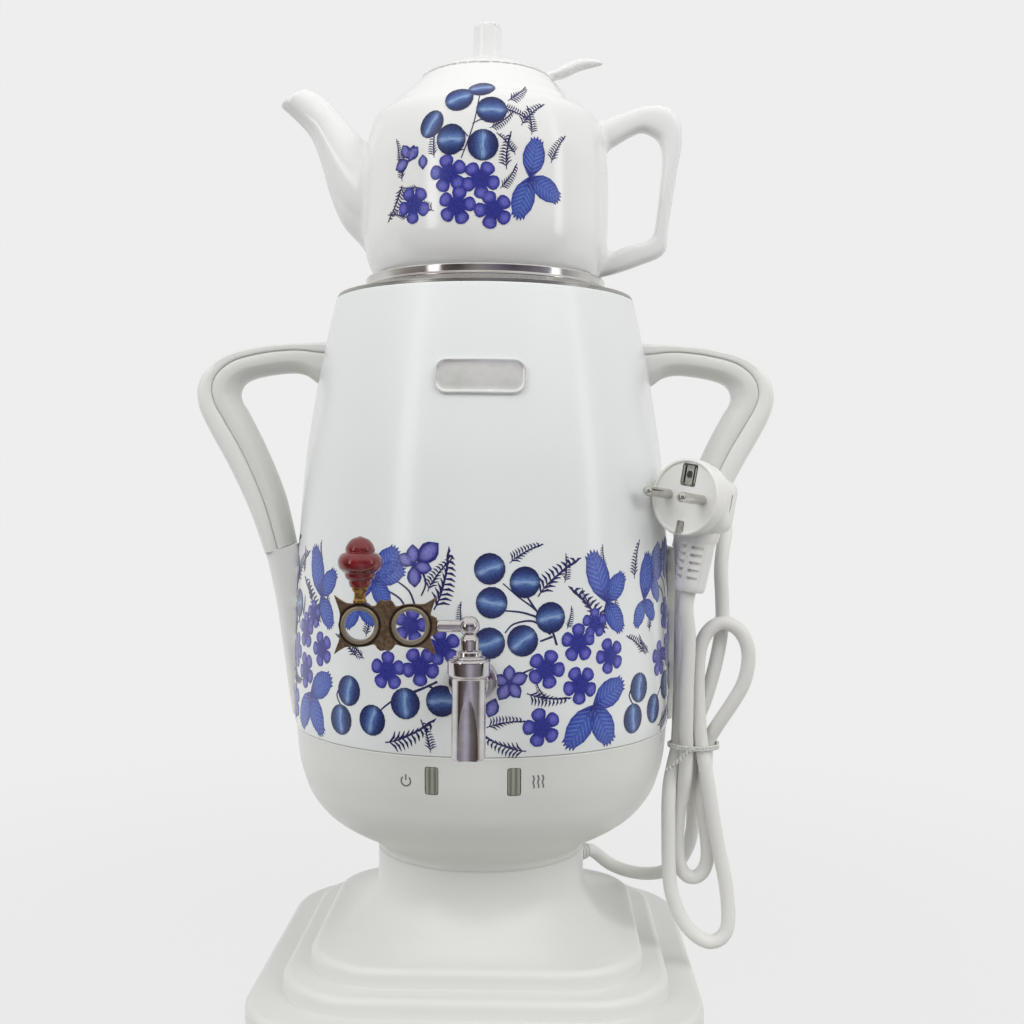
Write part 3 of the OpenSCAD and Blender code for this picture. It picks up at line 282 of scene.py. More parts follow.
def joined(*parts):
    """Several sets of points and faces as one."""
    points, faces = [], []
    for more, ring in parts:
        faces += [tuple(i + len(points) for i in f) for f in ring]
        points += np.asarray(more).tolist()
    return points, faces


wires = ((tie_wrap, 0.9, 0.75), (twist[0], 0.7, 0.62), (twist[1], 0.7, 0.62))
wire_tie = solid("wire_tie", *joined(*(loft(tube(spaced(line, step), r, 8)) for line, step, r in wires)),
                 clear_plastic, 60)
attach(wire_tie, "boiler")
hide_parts("cord_tie")

# ---- Plug -----------------------------------------------------------------------------------
# A right-angle earthed plug moulded in one with its ribbed strain relief in hard white PVC. The
# two chromed pins and the sprung earth clips in its rim are held by the moulding.
PLUG_AT, PLUG_TURN, PLUG_ROLL, PLUG_TILT = (97, -55, 249), -40, -8, -5
PIN_X, EARTH_TOP_Y, EARTH_FOOT_Y, PLUG_NECK_Z = 9.5, 10.6, -14.8, -19
plug_frame = (Matrix.Translation(PLUG_AT) @ Matrix.Rotation(math.radians(PLUG_TURN), 4, "Z")
              @ Matrix.Rotation(math.radians(90), 4, "X") @ Matrix.Rotation(math.radians(PLUG_ROLL), 4, "Z")
              @ Matrix.Rotation(math.radians(PLUG_TILT), 4, "X"))


def stood(matrix, part):
    """A part's points and faces, its points moved from their own frame to where that frame lies."""
    m = np.array(matrix)
    return np.asarray(part[0], float) @ m[:3, :3].T + m[:3, 3], part[1]


def arcs(corners, parts=5):
    """A line through (x, y, radius) corners, each rounded by its radius."""
    corners = [(*c, 0)[:3] for c in corners]
    line = []
    for i, (x, y, r) in enumerate(corners):
        if not r or i in (0, len(corners) - 1):
            line.append((x, y))
            continue
        here = np.array((x, y))
        back = np.array(corners[i - 1][:2]) - here
        on = np.array(corners[i + 1][:2]) - here
        a, b = (here + v / np.linalg.norm(v) * min(r, 0.49 * np.linalg.norm(v)) for v in (back, on))
        for t in np.linspace(0, 1, parts):
            line.append(tuple((1 - t) ** 2 * a + 2 * t * (1 - t) * here + t ** 2 * b))
    return line


def turning(outline, steps=96, centre=(0, 0), closed=False):
    """Points and faces turned from (radius, height) pairs; a radius of 0 closes a pole."""
    points, rows, faces = [], [], []
    angles = np.linspace(0, 2 * math.pi, steps, endpoint=False)
    for r, z in outline:
        if r < 1e-6:
            rows.append([len(points)])
            points.append((centre[0], centre[1], z))
        else:
            rows.append(list(range(len(points), len(points) + steps)))
            points += [(centre[0] + r * math.sin(a), centre[1] - r * math.cos(a), z) for a in angles]
    for low, high in list(zip(rows, rows[1:])) + ([(rows[-1], rows[0])] if closed else []):
        if len(low) == 1 and len(high) == 1:
            continue
        for i in range(steps):
            k = (i + 1) % steps
            corners = [low[i % len(low)], low[k % len(low)], high[k % len(high)], high[i % len(high)]]
            faces.append(tuple(dict.fromkeys(corners)))
    return points, faces


def rounded_square(half_x, half_y, corner, count=64):
    """A rounded rectangle's points, counted round from the right."""
    line = []
    for i in range(count):
        a = 2 * math.pi * (i + 0.5) / count
        sx, sy = math.copysign(1, math.cos(a)), math.copysign(1, math.sin(a))
        q = (a % (math.pi / 2)) / (math.pi / 2)
        q = q if sx * sy > 0 else 1 - q
        reach_x, reach_y, bend = half_x - corner, half_y - corner, corner * math.pi / 2
        along = q * (reach_x + reach_y + bend)
        if along < reach_y:
            line.append((sx * half_x, sy * along))
        elif along < reach_y + bend:
            b = (along - reach_y) / corner
            line.append((sx * (reach_x + corner * math.cos(b)), sy * (reach_y + corner * math.sin(b))))
        else:
            line.append((sx * (reach_x + reach_y + bend - along), sy * half_y))
    return line


plug_pvc = moulded("hard_white_pvc", "edece8", "e2e1dc", 0.3, 2200, 1.2e-5, 0.15)
face_disc = turning(arcs([(0, -0.9), (16.6, -0.9, 0.4), (17.0, 0, 0.3), (18.0, 0, 0.5), (18.5, -0.7, 0.6),
                          (18.5, -7.2, 0.8), (17.6, -8.2, 0.5), (0, -8.2)]), 96)
block = []
for depth, half_x, half_y, corner, low in (
        (-8.1, 17.4, 17.4, 17.2, 0), (-11, 17.2, 17.1, 15, 0), (-11.6, 16.2, 16.4, 14, 0),
        (-16, 15, 15.4, 10.5, -1), (-16.6, 14.2, 14.6, 9.5, -1), (-23.5, 13, 13.4, 7, -2),
        (-26.6, 12.4, 12.8, 6, -2), (-27.6, 11.6, 12, 5.4, -2), (-28, 10.4, 10.8, 4.6, -2)):
    block.append([(x, y + low, depth) for x, y in rounded_square(half_x, half_y, corner)])
neck = []
for y, wide, deep in ((-10, 9.4, 8.4), (-16, 9.2, 8.2), (-19, 8.8, 8), (-20.4, 8, 7.6), (-21, 7.8, 7.4),
                      (-42, 6.9, 6.7), (-44, 6.6, 6.4), (-45, 5.9, 5.8)):
    around = rounded_square(wide, deep, min(wide, deep) * 0.72, 48)
    neck.append([(a, y, PLUG_NECK_Z + b) for a, b in around])
plug_body = solid("plug_moulding", *stood(plug_frame, joined(face_disc, loft(block), loft(neck))),
                  plug_pvc, 38)

slots = []
for row in range(5):
    y = -23.4 - row * 3.7
    for left, right in ((-9.5, -1.3), (1.3, 9.5)):
        for front in (1, -1):
            corners = ((left, -0.75), (right, -0.75), (right, 0.75), (left, 0.75))
            slots.append(loft([[(x, y + dy, PLUG_NECK_Z + front * z) for x, dy in corners]
                               for z in (4.6, 9.5)]))
for mid, half_x, half_y, corner, low, high in ((EARTH_TOP_Y, 4.3, 5.4, 0.8, -6, 3),
                                               (EARTH_FOOT_Y, 2.1, 3.4, 0.5, -3, 3)):
    around = rounded_square(half_x, half_y, corner, 32)
    slots.append(loft([[(x, mid + y, z) for x, y in around] for z in (low, high)]))
around = rounded_square(4.2, 0.8, 0.4, 16)
slots.append(loft([[(x, y + 0.5, PLUG_NECK_Z - 1.5 + z) for y, z in around] for x in (12, 19)]))
cutter = solid("plug_cutter", *stood(plug_frame, joined(*slots)), plug_pvc)


def applied(piece, crease=35):
    """The piece's modifiers made into its plain mesh."""
    graph = bpy.context.evaluated_depsgraph_get()
    mesh = bpy.data.meshes.new_from_object(piece.evaluated_get(graph))
    piece.modifiers.clear()
    piece.data = mesh
    mesh.shade_smooth()
    mesh.set_sharp_from_angle(angle=math.radians(crease))
    return piece


def cut(piece, tool, crease=35, how="DIFFERENCE", solver="EXACT"):
    """The piece with the tool's solid taken out of it, or added to it."""
    step = piece.modifiers.new("cut", "BOOLEAN")
    step.operation, step.object, step.solver = how, tool, solver
    if solver == "EXACT":
        step.use_self = True
    applied(piece, crease)
    bpy.data.objects.remove(tool)
    return piece


cut(plug_body, cutter, 38)
PIN_LINE = arcs([(0, -10), (2.4, -10), (2.4, 17.2, 1), (1.5, 19, 0.8), (0, 19)])
pins = joined(*(turning(PIN_LINE, 40, centre=(x, 0)) for x in (-PIN_X, PIN_X)))
chrome, tree, shader = finish("polished_nickel", metallic=1.0)
wear = noise(tree, place_of(tree), 260, 5, 0.62)
toned(tree, shader, wear, [(0.3, "b9b6b0"), (0.7, "d6d4cf")], [(0.3, 0.12), (0.75, 0.3)])
relief(tree, shader, noise(tree, place_of(tree, (1, 1, 4)), 900, 3), 1.2e-5, 0.3)
plug_pins = solid("plug_pin_pair", *stood(plug_frame, pins), chrome, 30)
clips = []
for mid, tall, wide in ((EARTH_TOP_Y, 4.6, 2.0), (EARTH_FOOT_Y - 0.2, 2.6, 1.3)):
    # a bent strip: a tongue between two folded sides, sunk in its slot
    clips.append(loft([[(x, mid + y, z) for x, y in rounded_square(wide, tall, 0.5, 32)]
                       for z in (-5.5, -1.9, -1.5)]))
    for edge in (-1, 1):
        fold = rounded_square(0.35, tall * 0.9, 0.2, 16)
        clips.append(loft([[(edge * (wide + 1.3) + x, mid + y, z) for x, y in fold] for z in (-5.5, -1.2)]))
clip_metal, tree, shader = finish("clip_spring_metal", metallic=0.9)
toned(tree, shader, noise(tree, place_of(tree), 420, 4, 0.6), [(0.35, "a8a69d"), (0.7, "cfcdc5")],
      [(0.3, 0.24), (0.8, 0.42)])
earth_clips = solid("earth_clip_pair", *stood(plug_frame, joined(*clips)), clip_metal, 30)
screw_hole = turning([(0, 1), (1.75, 1), (1.75, -4.6), (0, -4.6)], 32, centre=(0, EARTH_TOP_Y + 0.3))
cut(earth_clips, solid("hole_tool", *stood(plug_frame, screw_hole), clip_metal), 30)
for piece, node, finish_slot in ((plug_body, "plug_body", "white_gloss"), (plug_pins, "plug_pins", "chrome"),
                                 (earth_clips, "earth_clips", "brass")):
    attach(piece, "boiler")
    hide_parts(node)

# ---- Studio ---------------------------------------------------------------------------------
# A seamless pale sweep under broad soft lamps. The floor keeps the object's shadow and runs
# into the background; the room behind the camera is dim, with two tall window-like panels.
BACKDROP = colour("edeeed")


def maths(tree, operation, a, b=0.0):
    return add(tree, "ShaderNodeMath", {0: a, 1: b}, operation=operation).outputs[0]


def mixed(tree, share, a, b):
    """The first colour where the share is 0, the second where it is 1."""
    a, b = (colour(c) if isinstance(c, str) else c for c in (a, b))
    return add(tree, "ShaderNodeMix", {0: share, 6: a, 7: b}, data_type="RGBA").outputs[2]


def rescaled(tree, value, low, high, **settings):
    """0 where the value is low, 1 where it is high."""
    return add(tree, "ShaderNodeMapRange", {"Value": value, "From Min": low, "From Max": high},
               **settings).outputs[0]


def axes(tree, vector):
    return add(tree, "ShaderNodeSeparateXYZ", {0: vector}).outputs


def bearing_of(tree, across, toward):
    """Which way round something lies, from 0 to 1, with 0.5 towards the camera."""
    return rescaled(tree, maths(tree, "ARCTAN2", across, toward), -math.pi, math.pi)


def glowing(tree, shade, strength=1.0):
    return add(tree, "ShaderNodeBackground", {"Color": shade, "Strength": strength}).outputs[0]


world = bpy.data.worlds.new("studio")
scene.world = world
world.use_nodes = True
tree = world.node_tree
tree.nodes.clear()
heading = axes(tree, add(tree, "ShaderNodeTexCoord").outputs["Generated"])
bearing = bearing_of(tree, heading["X"], maths(tree, "MULTIPLY", heading["Y"], -1.0))
around = ramp(tree, bearing, [
    (0.0, "e6e6e4"), (0.2, "dcdcda"), (0.28, "9a9794"), (0.345, "6d6865"), (0.36, 2.6), (0.377, 2.6),
    (0.39, "5a524e"), (0.44, "3c3431"), (0.49, "8e8786"), (0.53, "756b7c"), (0.58, "463d4d"),
    (0.65, "7a7480"), (0.685, "8b8890"), (0.693, 2.2), (0.708, 2.2), (0.72, "8d8b8c"), (0.8, "dcdcda"),
    (1.0, "e6e6e4")])
above = ramp(tree, heading["Z"], [(0.0, "dcdcda"), (0.45, "e8e8e6"), (0.62, "f2f2f0"), (1.0, "f6f6f4")])
level = rescaled(tree, heading["Z"], 0.25, 0.7)
room = mixed(tree, level, around, above)
glow = ramp(tree, bearing, [(0.0, 0.75), (0.2, 1.2), (0.3, 1.3), (0.42, 0.9), (0.5, 0.75), (0.58, 0.9),
                            (0.7, 1.3), (0.8, 1.2), (1.0, 0.75)])
dome = mixed(tree, level, glow, "999a9b")
path = add(tree, "ShaderNodeLightPath").outputs
reflected = maths(tree, "MAXIMUM", path["Is Glossy Ray"], path["Is Transmission Ray"])
lit = add(tree, "ShaderNodeMixShader", {0: reflected, 1: glowing(tree, dome, 1.05), 2: glowing(tree, room)})
shown = add(tree, "ShaderNodeMixShader", {
    0: path["Is Camera Ray"], 1: lit.outputs[0], 2: glowing(tree, BACKDROP)})
tree.links.new(shown.outputs[0], add(tree, "ShaderNodeOutputWorld").inputs[0])

sweep, tree, shader = finish("pale_sweep", roughness=0.9, specular_ior_level=0.1)
where = add(tree, "ShaderNodeTexCoord").outputs["Object"]
radius = add(tree, "ShaderNodeVectorMath", {0: where}, operation="LENGTH").outputs["Value"]
edge = rescaled(tree, radius, 0.16, 0.62, interpolation_type="SMOOTHSTEP")
place = axes(tree, where)
front = rescaled(tree, place["Y"], -0.34, -0.1)
side_on = bearing_of(tree, place["X"], maths(tree, "SUBTRACT", -0.13, place["Y"]))
# Painted reflection: in front of the object the floor glows for reflected rays only, in dark and light bands
# that show in the chrome tap as a room.
painted_reflection_bands = ramp(tree, side_on, [(0.19, "c9c8c6"), (0.24, "3c3431"), (0.34, "4a403a"), (0.4, "6b5f5b"),
                               (0.45, "7d7781"), (0.49, "b0adbb"), (0.53, "c4c1d0"), (0.6, "9a969c"),
                               (0.68, "7c7a7c"), (0.72, "3a3432"), (0.78, "322d2b"), (0.83, "b9b7b5")])
path = add(tree, "ShaderNodeLightPath").outputs
seen_as = mixed(tree, path["Is Camera Ray"], mixed(tree, front, painted_reflection_bands, BACKDROP), BACKDROP)
flat = add(tree, "ShaderNodeEmission", {"Color": seen_as, "Strength": 1.0})
tree.links.new(mixed(tree, front, "7c7a78", "b4b4b1"), shader.inputs["Base Color"])
look = maths(tree, "MAXIMUM", path["Is Camera Ray"], path["Is Glossy Ray"])
near = add(tree, "ShaderNodeMapRange", {"Value": edge, "To Min": 0.93, "To Max": 1.0}).outputs[0]
whole = add(tree, "ShaderNodeMixShader", {
    0: maths(tree, "MULTIPLY", look, near), 1: shader.outputs[0], 2: flat.outputs[0]})
tree.links.new(whole.outputs[0], tree.nodes["Material Output"].inputs["Surface"])
floor_points = [(0, 0, 0)] + [(6000 * math.cos(a), 6000 * math.sin(a), 0)
                              for a in np.linspace(0, 2 * math.pi, 48, endpoint=False)]
floor = solid("sweep_floor", floor_points, [(0, 1 + i, 1 + (i + 1) % 48) for i in range(48)], sweep)


def lamp(name, at, target, watts):
    """A soft square lamp, 1.5 m wide, that points at a target; both places are in metres."""
    light = bpy.data.lights.new(name, "AREA")
    light.shape, light.size, light.energy = "SQUARE", 1.5, watts
    made = bpy.data.objects.new(name, light)
    facing = (Vector(target) - Vector(at)).to_track_quat("-Z", "Y")
    made.matrix_world = Matrix.Translation(at) @ facing.to_matrix().to_4x4()
    made.visible_glossy = False
    made.visible_camera = False
    scene.collection.objects.link(made)


lamp("overhead", (0.1, -0.3, 1.9), (0, 0, 0.25), 1.5)
lamp("front_left", (-1.35, -1.25, 1.75), (0, 0, 0.42), 20.5)
lamp("front_right", (1.45, -1.15, 1.7), (0, 0, 0.42), 20.5)

# ---- Pedestal -------------------------------------------------------------------------------
# One hollow injection moulding in glossy white plastic: three square steps with rounded corners,
# and a flare that turns them into a round neck. A boss at its back right takes the cord's gland.
STEPS = ((108, 46, 3, 13), (92.5, 42, 13, 22), (80.5, 38, 22, 31))
STEP_ROUND, NECK, FLARE_TOP, NECK_TOP, WALL = 4, 53, 55, 68, 2.5
white_plastic = moulded("glossy_white_plastic", "dededa", "dbdcd7", 0.3, 1800, 1.2e-5)


def step_ring(half, corner, z):
    return [(x, y, z) for x, y in rounded_square(half, half, corner, 144)]


def flare(inward):
    """The concave turn from the top step's flat to the neck, moved inwards by a wall."""
    half, corner, _, top = STEPS[-1]
    half, corner = half - STEP_ROUND, corner - STEP_ROUND
    rings = []
    for a in np.linspace(0, math.pi / 2, 14):
        reach = NECK + (half - NECK) * (1 - math.sin(a)) - inward * math.sin(a)
        rings.append(step_ring(reach, min(reach, corner + (NECK - corner) * math.sin(a)),
                               top + (FLARE_TOP - top) * (1 - math.cos(a)) - inward * math.cos(a)))
    return rings


outside, inside = [], []
for half, corner, low, top in STEPS:
    foot = ((0.8, 0), (0.2, 0.2), (0, 0.8)) if low > STEPS[0][2] else ((-0.7, 0), (0, 0.7))
    outside += [step_ring(half + out, corner + out, low + rise) for out, rise in foot]
    for a in np.linspace(0, math.pi / 2, 6):
        in_by = STEP_ROUND * (1 - math.cos(a))
        outside.append(step_ring(half - in_by, corner - in_by, top - STEP_ROUND * (1 - math.sin(a))))
    inside += [step_ring(half - WALL, corner - WALL, low if low == STEPS[0][2] else low - WALL),
               step_ring(half - WALL, corner - WALL, top - WALL)]
outside += flare(0)[1:] + [step_ring(NECK, NECK, NECK_TOP - 0.5), step_ring(NECK - 0.5, NECK - 0.5, NECK_TOP)]
inside += flare(WALL)[1:] + [step_ring(NECK - WALL, NECK - WALL, NECK_TOP - 3.5)]
GLAND_Z, BOSS_END = 47, 60
gland_frame = (Matrix.Translation((0, 0, GLAND_Z)) @ Matrix.Rotation(math.radians(45), 4, "Z")
               @ Matrix.Rotation(math.radians(90), 4, "Y"))
boss = turning([(5.2, 48), (9, 48), (9, BOSS_END - 0.7), (8.4, BOSS_END), (5.2, BOSS_END)], 48, closed=True)
pedestal = solid("pedestal_moulding", *joined(loft(inside[::-1] + outside), stood(gland_frame, boss)),
                 white_plastic, 32)
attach(pedestal, "boiler")
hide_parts("base_pedestal")

# ---- Base plate, screws and feet --------------------------------------------------------------
# A flat plastic plate closes the pedestal from below. Four zinc-plated screws hold it, and four
# dark rubber feet are pressed into it.
zinc, tree, shader = finish("zinc_plated_steel", metallic=1.0)
spangle = noise(tree, place_of(tree), 700, 4, 0.6)
toned(tree, shader, spangle, [(0.3, "a9abac"), (0.7, "c9cbca")], [(0.3, 0.3), (0.75, 0.45)])
relief(tree, shader, noise(tree, place_of(tree), 2500, 2), 1e-5, 0.4)
foot_rubber = moulded("dark_rubber", "3a3a3b", "2c2c2d", 0.78, 1500, 4e-5)


def dress(material, *nodes):
    """These nodes' own solids shown in this finish."""
    for name in nodes:
        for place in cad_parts[name].material_slots:
            place.material = material


dress(white_plastic, "base_plate")
dress(foot_rubber, "rubber_feet")
dress(zinc, "base_screws", "pedestal_screws", "tank_nuts", "tank_studs", "handle_screws")

# ---- Cord gland and inner lead ----------------------------------------------------------------
# A white rubber bush pushed through the pedestal's boss. Its tapered tail has five cuts that let
# it bend, so that the cord doesn't kink where it comes out.
white_rubber = moulded("white_rubber", "dcdbd6", "cfcec8", 0.55, 1600, 3e-5)
BUSH_R, BUSH_FOOT, BUSH_TIP = CORD_RADIUS + 0.05, 46, 80
bush = [(BUSH_R, BUSH_FOOT), (6.5, BUSH_FOOT), (6.5, 48.8), (5.15, 49), (5.15, BOSS_END), (7.3, BOSS_END),
        (7.3, BOSS_END + 1.1), (6.7, BOSS_END + 2)]
for rib in range(6):
    start, r = BOSS_END + 2.6 + 2.8 * rib, 6.1 - 0.3 * rib
    bush += [(r, start), (r - 0.1, start + 1.7), (r - 0.9, start + 1.9), (r - 0.9, start + 2.5)]
bush += [(4.3, BUSH_TIP - 0.6), (4.1, BUSH_TIP), (BUSH_R, BUSH_TIP)]
gland = solid("cord_bush", *stood(gland_frame, turning(bush, 48, closed=True)), white_rubber, 40)
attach(gland, "boiler")
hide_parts("cord_gland")
dress(white_rubber, "inner_lead")

# ---- Lower housing ----------------------------------------------------------------------------
# A round bowl moulded in the same white plastic, with two slots for the windows. It is screwed to
# the pedestal's neck and carries the steel shell on a lip inside its rim.
BOWL_SHAPE = ((0, 0), (0, 0.045), (0.143, 0.119), (0.457, 0.233), (0.66, 0.335), (0.824, 0.476),
              (0.912, 0.623), (0.967, 0.77), (1, 1))
SEAM_Z, SEAM_R, LIP_R, LIP_TOP, FLOOR_Z = 132.5, 95, 92.9, 138, 71.5
bowl_line = through([(NECK + a * (SEAM_R - NECK), NECK_TOP + b * (SEAM_Z - NECK_TOP))
                     for a, b in BOWL_SHAPE], 7)
bowl_wall = [(r - WALL * min(1, 0.5 + k / 20), z + WALL * (1 - k / len(bowl_line)))
             for k, (r, z) in enumerate(bowl_line) if z > FLOOR_Z + 2.5]
bowl_neck = [(0, NECK_TOP), (NECK - 0.6, NECK_TOP), (NECK, NECK_TOP + 0.5)]
bowl_lip = [(SEAM_R, SEAM_Z - 0.5), (SEAM_R - 0.25, SEAM_Z - 0.1), (SEAM_R - 0.7, SEAM_Z), (LIP_R, SEAM_Z),
            (LIP_R, LIP_TOP), (LIP_R - 1.5, LIP_TOP), (LIP_R - 1.5, SEAM_Z - 2.5)]
bowl_inside = [p for p in bowl_wall[::-1] if p[1] < SEAM_Z - 3.5] + [(47, FLOOR_Z), (0, FLOOR_Z)]
bowl = turning(bowl_neck + list(bowl_line[2:-1]) + bowl_lip + bowl_inside, 192)
housing = solid("lower_bowl", *bowl, white_plastic, 34)
WINDOW_X, WINDOW_Z, WINDOW_W, WINDOW_H, WINDOW_ROUND = 18.5, 121.4, 5.8, 12.5, 0.9
window_hole = rounded_square(WINDOW_W / 2 + 0.2, WINDOW_H / 2 + 0.2, WINDOW_ROUND, 32)
slots = [loft([[(mid + x, y, WINDOW_Z + z) for x, z in window_hole] for y in (-SEAM_R - 3, -SEAM_R + 13)])
         for mid in (-WINDOW_X, WINDOW_X)]
cut(housing, solid("slot_tool", *joined(*slots), white_plastic), 34)
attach(housing, "boiler")
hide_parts("lower_housing")

# ---- Pilot windows and their signs ------------------------------------------------------------
# Two smoky acrylic windows pushed into the housing's slots, ribbed inside to spread the light of
# the neon lamps. Beside them a power sign and a warmth sign are printed in grey.


def laid_on(profile, points):
    """Points given as (way round from the front, height, height off the wall) on a turned wall."""
    r, z = np.asarray(profile).T
    lean = np.gradient(r, z)
    placed = []
    for x, height, off in points:
        radius, slope = np.interp(height, z, r), np.interp(height, z, lean)
        straight = 1 / math.hypot(1, slope)
        reach, a = radius + off * straight, x / radius
        placed.append((reach * math.sin(a), -reach * math.cos(a), height - off * slope * straight))
    return placed


smoky, tree, shader = finish("smoky_acrylic", ior=1.49, transmission_weight=0.3, roughness=0.12,
                             coat_weight=0.4)
where = place_of(tree)
ribs = add(tree, "ShaderNodeTexWave", {"Vector": where, "Scale": 130.0, "Distortion": 0.4, "Detail": 1.0},
           bands_direction="X").outputs["Fac"]
toned(tree, shader, ribs, [(0.2, "86887c"), (0.8, "b2b5a6")])
relief(tree, shader, ribs, 1.2e-4, 0.35)
bowl_upper = [p for p in bowl_line if p[1] > 100]
# the windows' distance from the middle is longer along the bowl's round than straight across
ALONG_ROUND = 1.007
for name, node, mid in (("power_window", "power_lens", -WINDOW_X), ("warmth_window", "heat_lens", WINDOW_X)):
    rings = []
    for in_by, off in ((0.05, -6), (0.05, -0.2), (0.15, 0.15), (0.5, 0.3), (1.1, 0.36)):
        half_w, half_h = WINDOW_W / 2 - in_by, WINDOW_H / 2 - in_by
        around = rounded_square(half_w, half_h, max(0.3, WINDOW_ROUND - in_by), 32)
        rings.append(laid_on(bowl_upper, [(ALONG_ROUND * mid + x, WINDOW_Z + z, off) for x, z in around]))
    window = solid(name, *loft(rings), smoky, 50)
    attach(window, "boiler")
    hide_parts(node)
lamp_glass, tree, shader = finish("neon_lamp_glass", ior=1.5, roughness=0.1, transmission_weight=0.6)
glow = noise(tree, place_of(tree), 600, 2)
toned(tree, shader, glow, [(0.3, "c99b77"), (0.8, "dcb594")])
dress(lamp_glass, "pilot_lamps")


def ribbon(line, width, top=0.0):
    """A flat ribbon along a line of (x, y), as a thin closed strip; width is one number or a list."""
    line = np.asarray(line, float)
    ahead = np.gradient(line, axis=0)
    ahead /= np.linalg.norm(ahead, axis=1)[:, None] + 1e-9
    across = np.stack([-ahead[:, 1], ahead[:, 0]], 1) * (0.5 * np.broadcast_to(width, len(line)))[:, None]
    return loft([[(*(p + q), top), (*(p - q), top), (*(p - q), -0.3), (*(p + q), -0.3)]
                 for p, q in zip(line, across)])


grey_ink, tree, shader = finish("grey_ink", roughness=0.5)
toned(tree, shader, noise(tree, place_of(tree), 1200, 3), [(0.3, "6c6d6e"), (0.7, "7d7e80")])
POWER_X, POWER_Z, POWER_R, GAP = -30.9, 120.5, 2.3, 0.7
sign_lines = [[(POWER_X + POWER_R * math.sin(a), POWER_Z + POWER_R * math.cos(a))
               for a in np.linspace(GAP, 2 * math.pi - GAP, 30)],
              [(POWER_X, POWER_Z + rise) for rise in (0.4, 1.7, 3.1)]]
WARMTH_X, WARMTH_Z, WAVE_GAP, PEN = 29.8, 118.1, 2.2, 0.75
for x in (WARMTH_X - WAVE_GAP, WARMTH_X, WARMTH_X + WAVE_GAP):
    sign_lines.append([(x + 0.25 * math.sin(k * 0.9), WARMTH_Z + 0.5 * k) for k in range(13)])
points, faces = joined(*(ribbon(line, PEN, 0.05) for line in sign_lines))
printed_signs = solid("printed_signs", laid_on(bowl_upper, points), faces, grey_ink, 60)
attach(printed_signs, "boiler")

# ---- Electrics --------------------------------------------------------------------------------
# Under the tank: a porcelain terminal block, a boiling and a warming element in steel tube, a
# thermostat and a thermal cut-out. They are clamped to the tank's underside.
ivory = moulded("glazed_ivory", "e6dfcb", "d9d0b8", 0.34, 1200, 2e-5)
element_steel, tree, shader = finish("heated_steel", metallic=1.0, roughness=0.4)
tint = noise(tree, place_of(tree), 60, 4)
toned(tree, shader, tint, [(0.3, "6b625c"), (0.55, "8a8580"), (0.8, "7a7487")])
relief(tree, shader, noise(tree, place_of(tree), 1500, 3), 2e-5, 0.5)
dress(ivory, "terminal_block", "thermostat", "thermal_cutout")
dress(element_steel, "boil_element", "warm_element")

# ---- Outer shell ------------------------------------------------------------------------------
# Drawn steel sheet with white stoved enamel paint, hemmed at the seam and rolled in at its rim.
# The paint is smooth and glossy with a very slight orange peel.
SHELL_SHAPE = ((0, 0.945), (0.044, 1), (0.15, 0.985), (0.283, 0.955), (0.4, 0.91), (0.5, 0.845),
               (0.62, 0.735), (0.724, 0.58), (0.805, 0.435), (0.903, 0.235), (1, 0))
RIM_R, RIM_Z, BELLY_R, MOUTH_R, STEEL = 76, 347, 96.3, 72.5, 1
shell_line = through([(RIM_R + b * (BELLY_R - RIM_R), SEAM_Z + a * (RIM_Z - SEAM_Z))
                      for a, b in SHELL_SHAPE], 8)
enamel, tree, shader = finish("white_enamel_paint", ior=1.5, coat_weight=0.35, coat_roughness=0.08)
where = place_of(tree)
toned(tree, shader, noise(tree, where, 6, 1), [(0.25, "e5e9e8"), (0.75, "e8ebea")],
      [(0.2, 0.22), (0.8, 0.26)], noise(tree, where, 400, 2))
relief(tree, shader, noise(tree, where, 420, 2), 2.5e-5, 0.35)
shell_inside = [(r - STEEL, z) for r, z in shell_line[1:-2]]
shell_foot = [(SEAM_R - 0.6, SEAM_Z + 0.25), (SEAM_R - 0.1, SEAM_Z + 0.2), (SEAM_R + 0.2, SEAM_Z + 0.4)]
shell_rim = arcs([shell_line[-2], (RIM_R + 0.1, RIM_Z, 1.6), (MOUTH_R, RIM_Z)], 7)[1:]
shell_rim += [(MOUTH_R, RIM_Z - STEEL), (MOUTH_R + 1.9, RIM_Z - STEEL)]
shell_outline = (shell_foot + [tuple(p) for p in shell_line[1:-2]] + shell_rim + shell_inside[::-1][1:]
                 + [(SEAM_R - 0.8, SEAM_Z + 1)])
shell = solid("painted_shell", *turning(shell_outline, 224, closed=True), enamel, 40)
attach(shell, "boiler")
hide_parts("outer_shell")

# ---- Water tank -------------------------------------------------------------------------------
# Drawn stainless steel. Its mouth is rolled out flat over the shell's rim, and fine drawing lines
# run round its wall. The tap's threaded tail passes through its side.
stainless, tree, shader = finish("stainless_steel", metallic=1.0)
lines = noise(tree, place_of(tree, (1, 1, 40)), 90, 4, 0.65)
blotch = noise(tree, place_of(tree), 30, 4, 0.6)
toned(tree, shader, blotch, [(0.3, "b3b1ac"), (0.7, "cbc9c4")], [(0.3, 0.26), (0.75, 0.42)], lines)
relief(tree, shader, lines, 1.5e-5, 0.4)
dress(stainless, "water_tank")
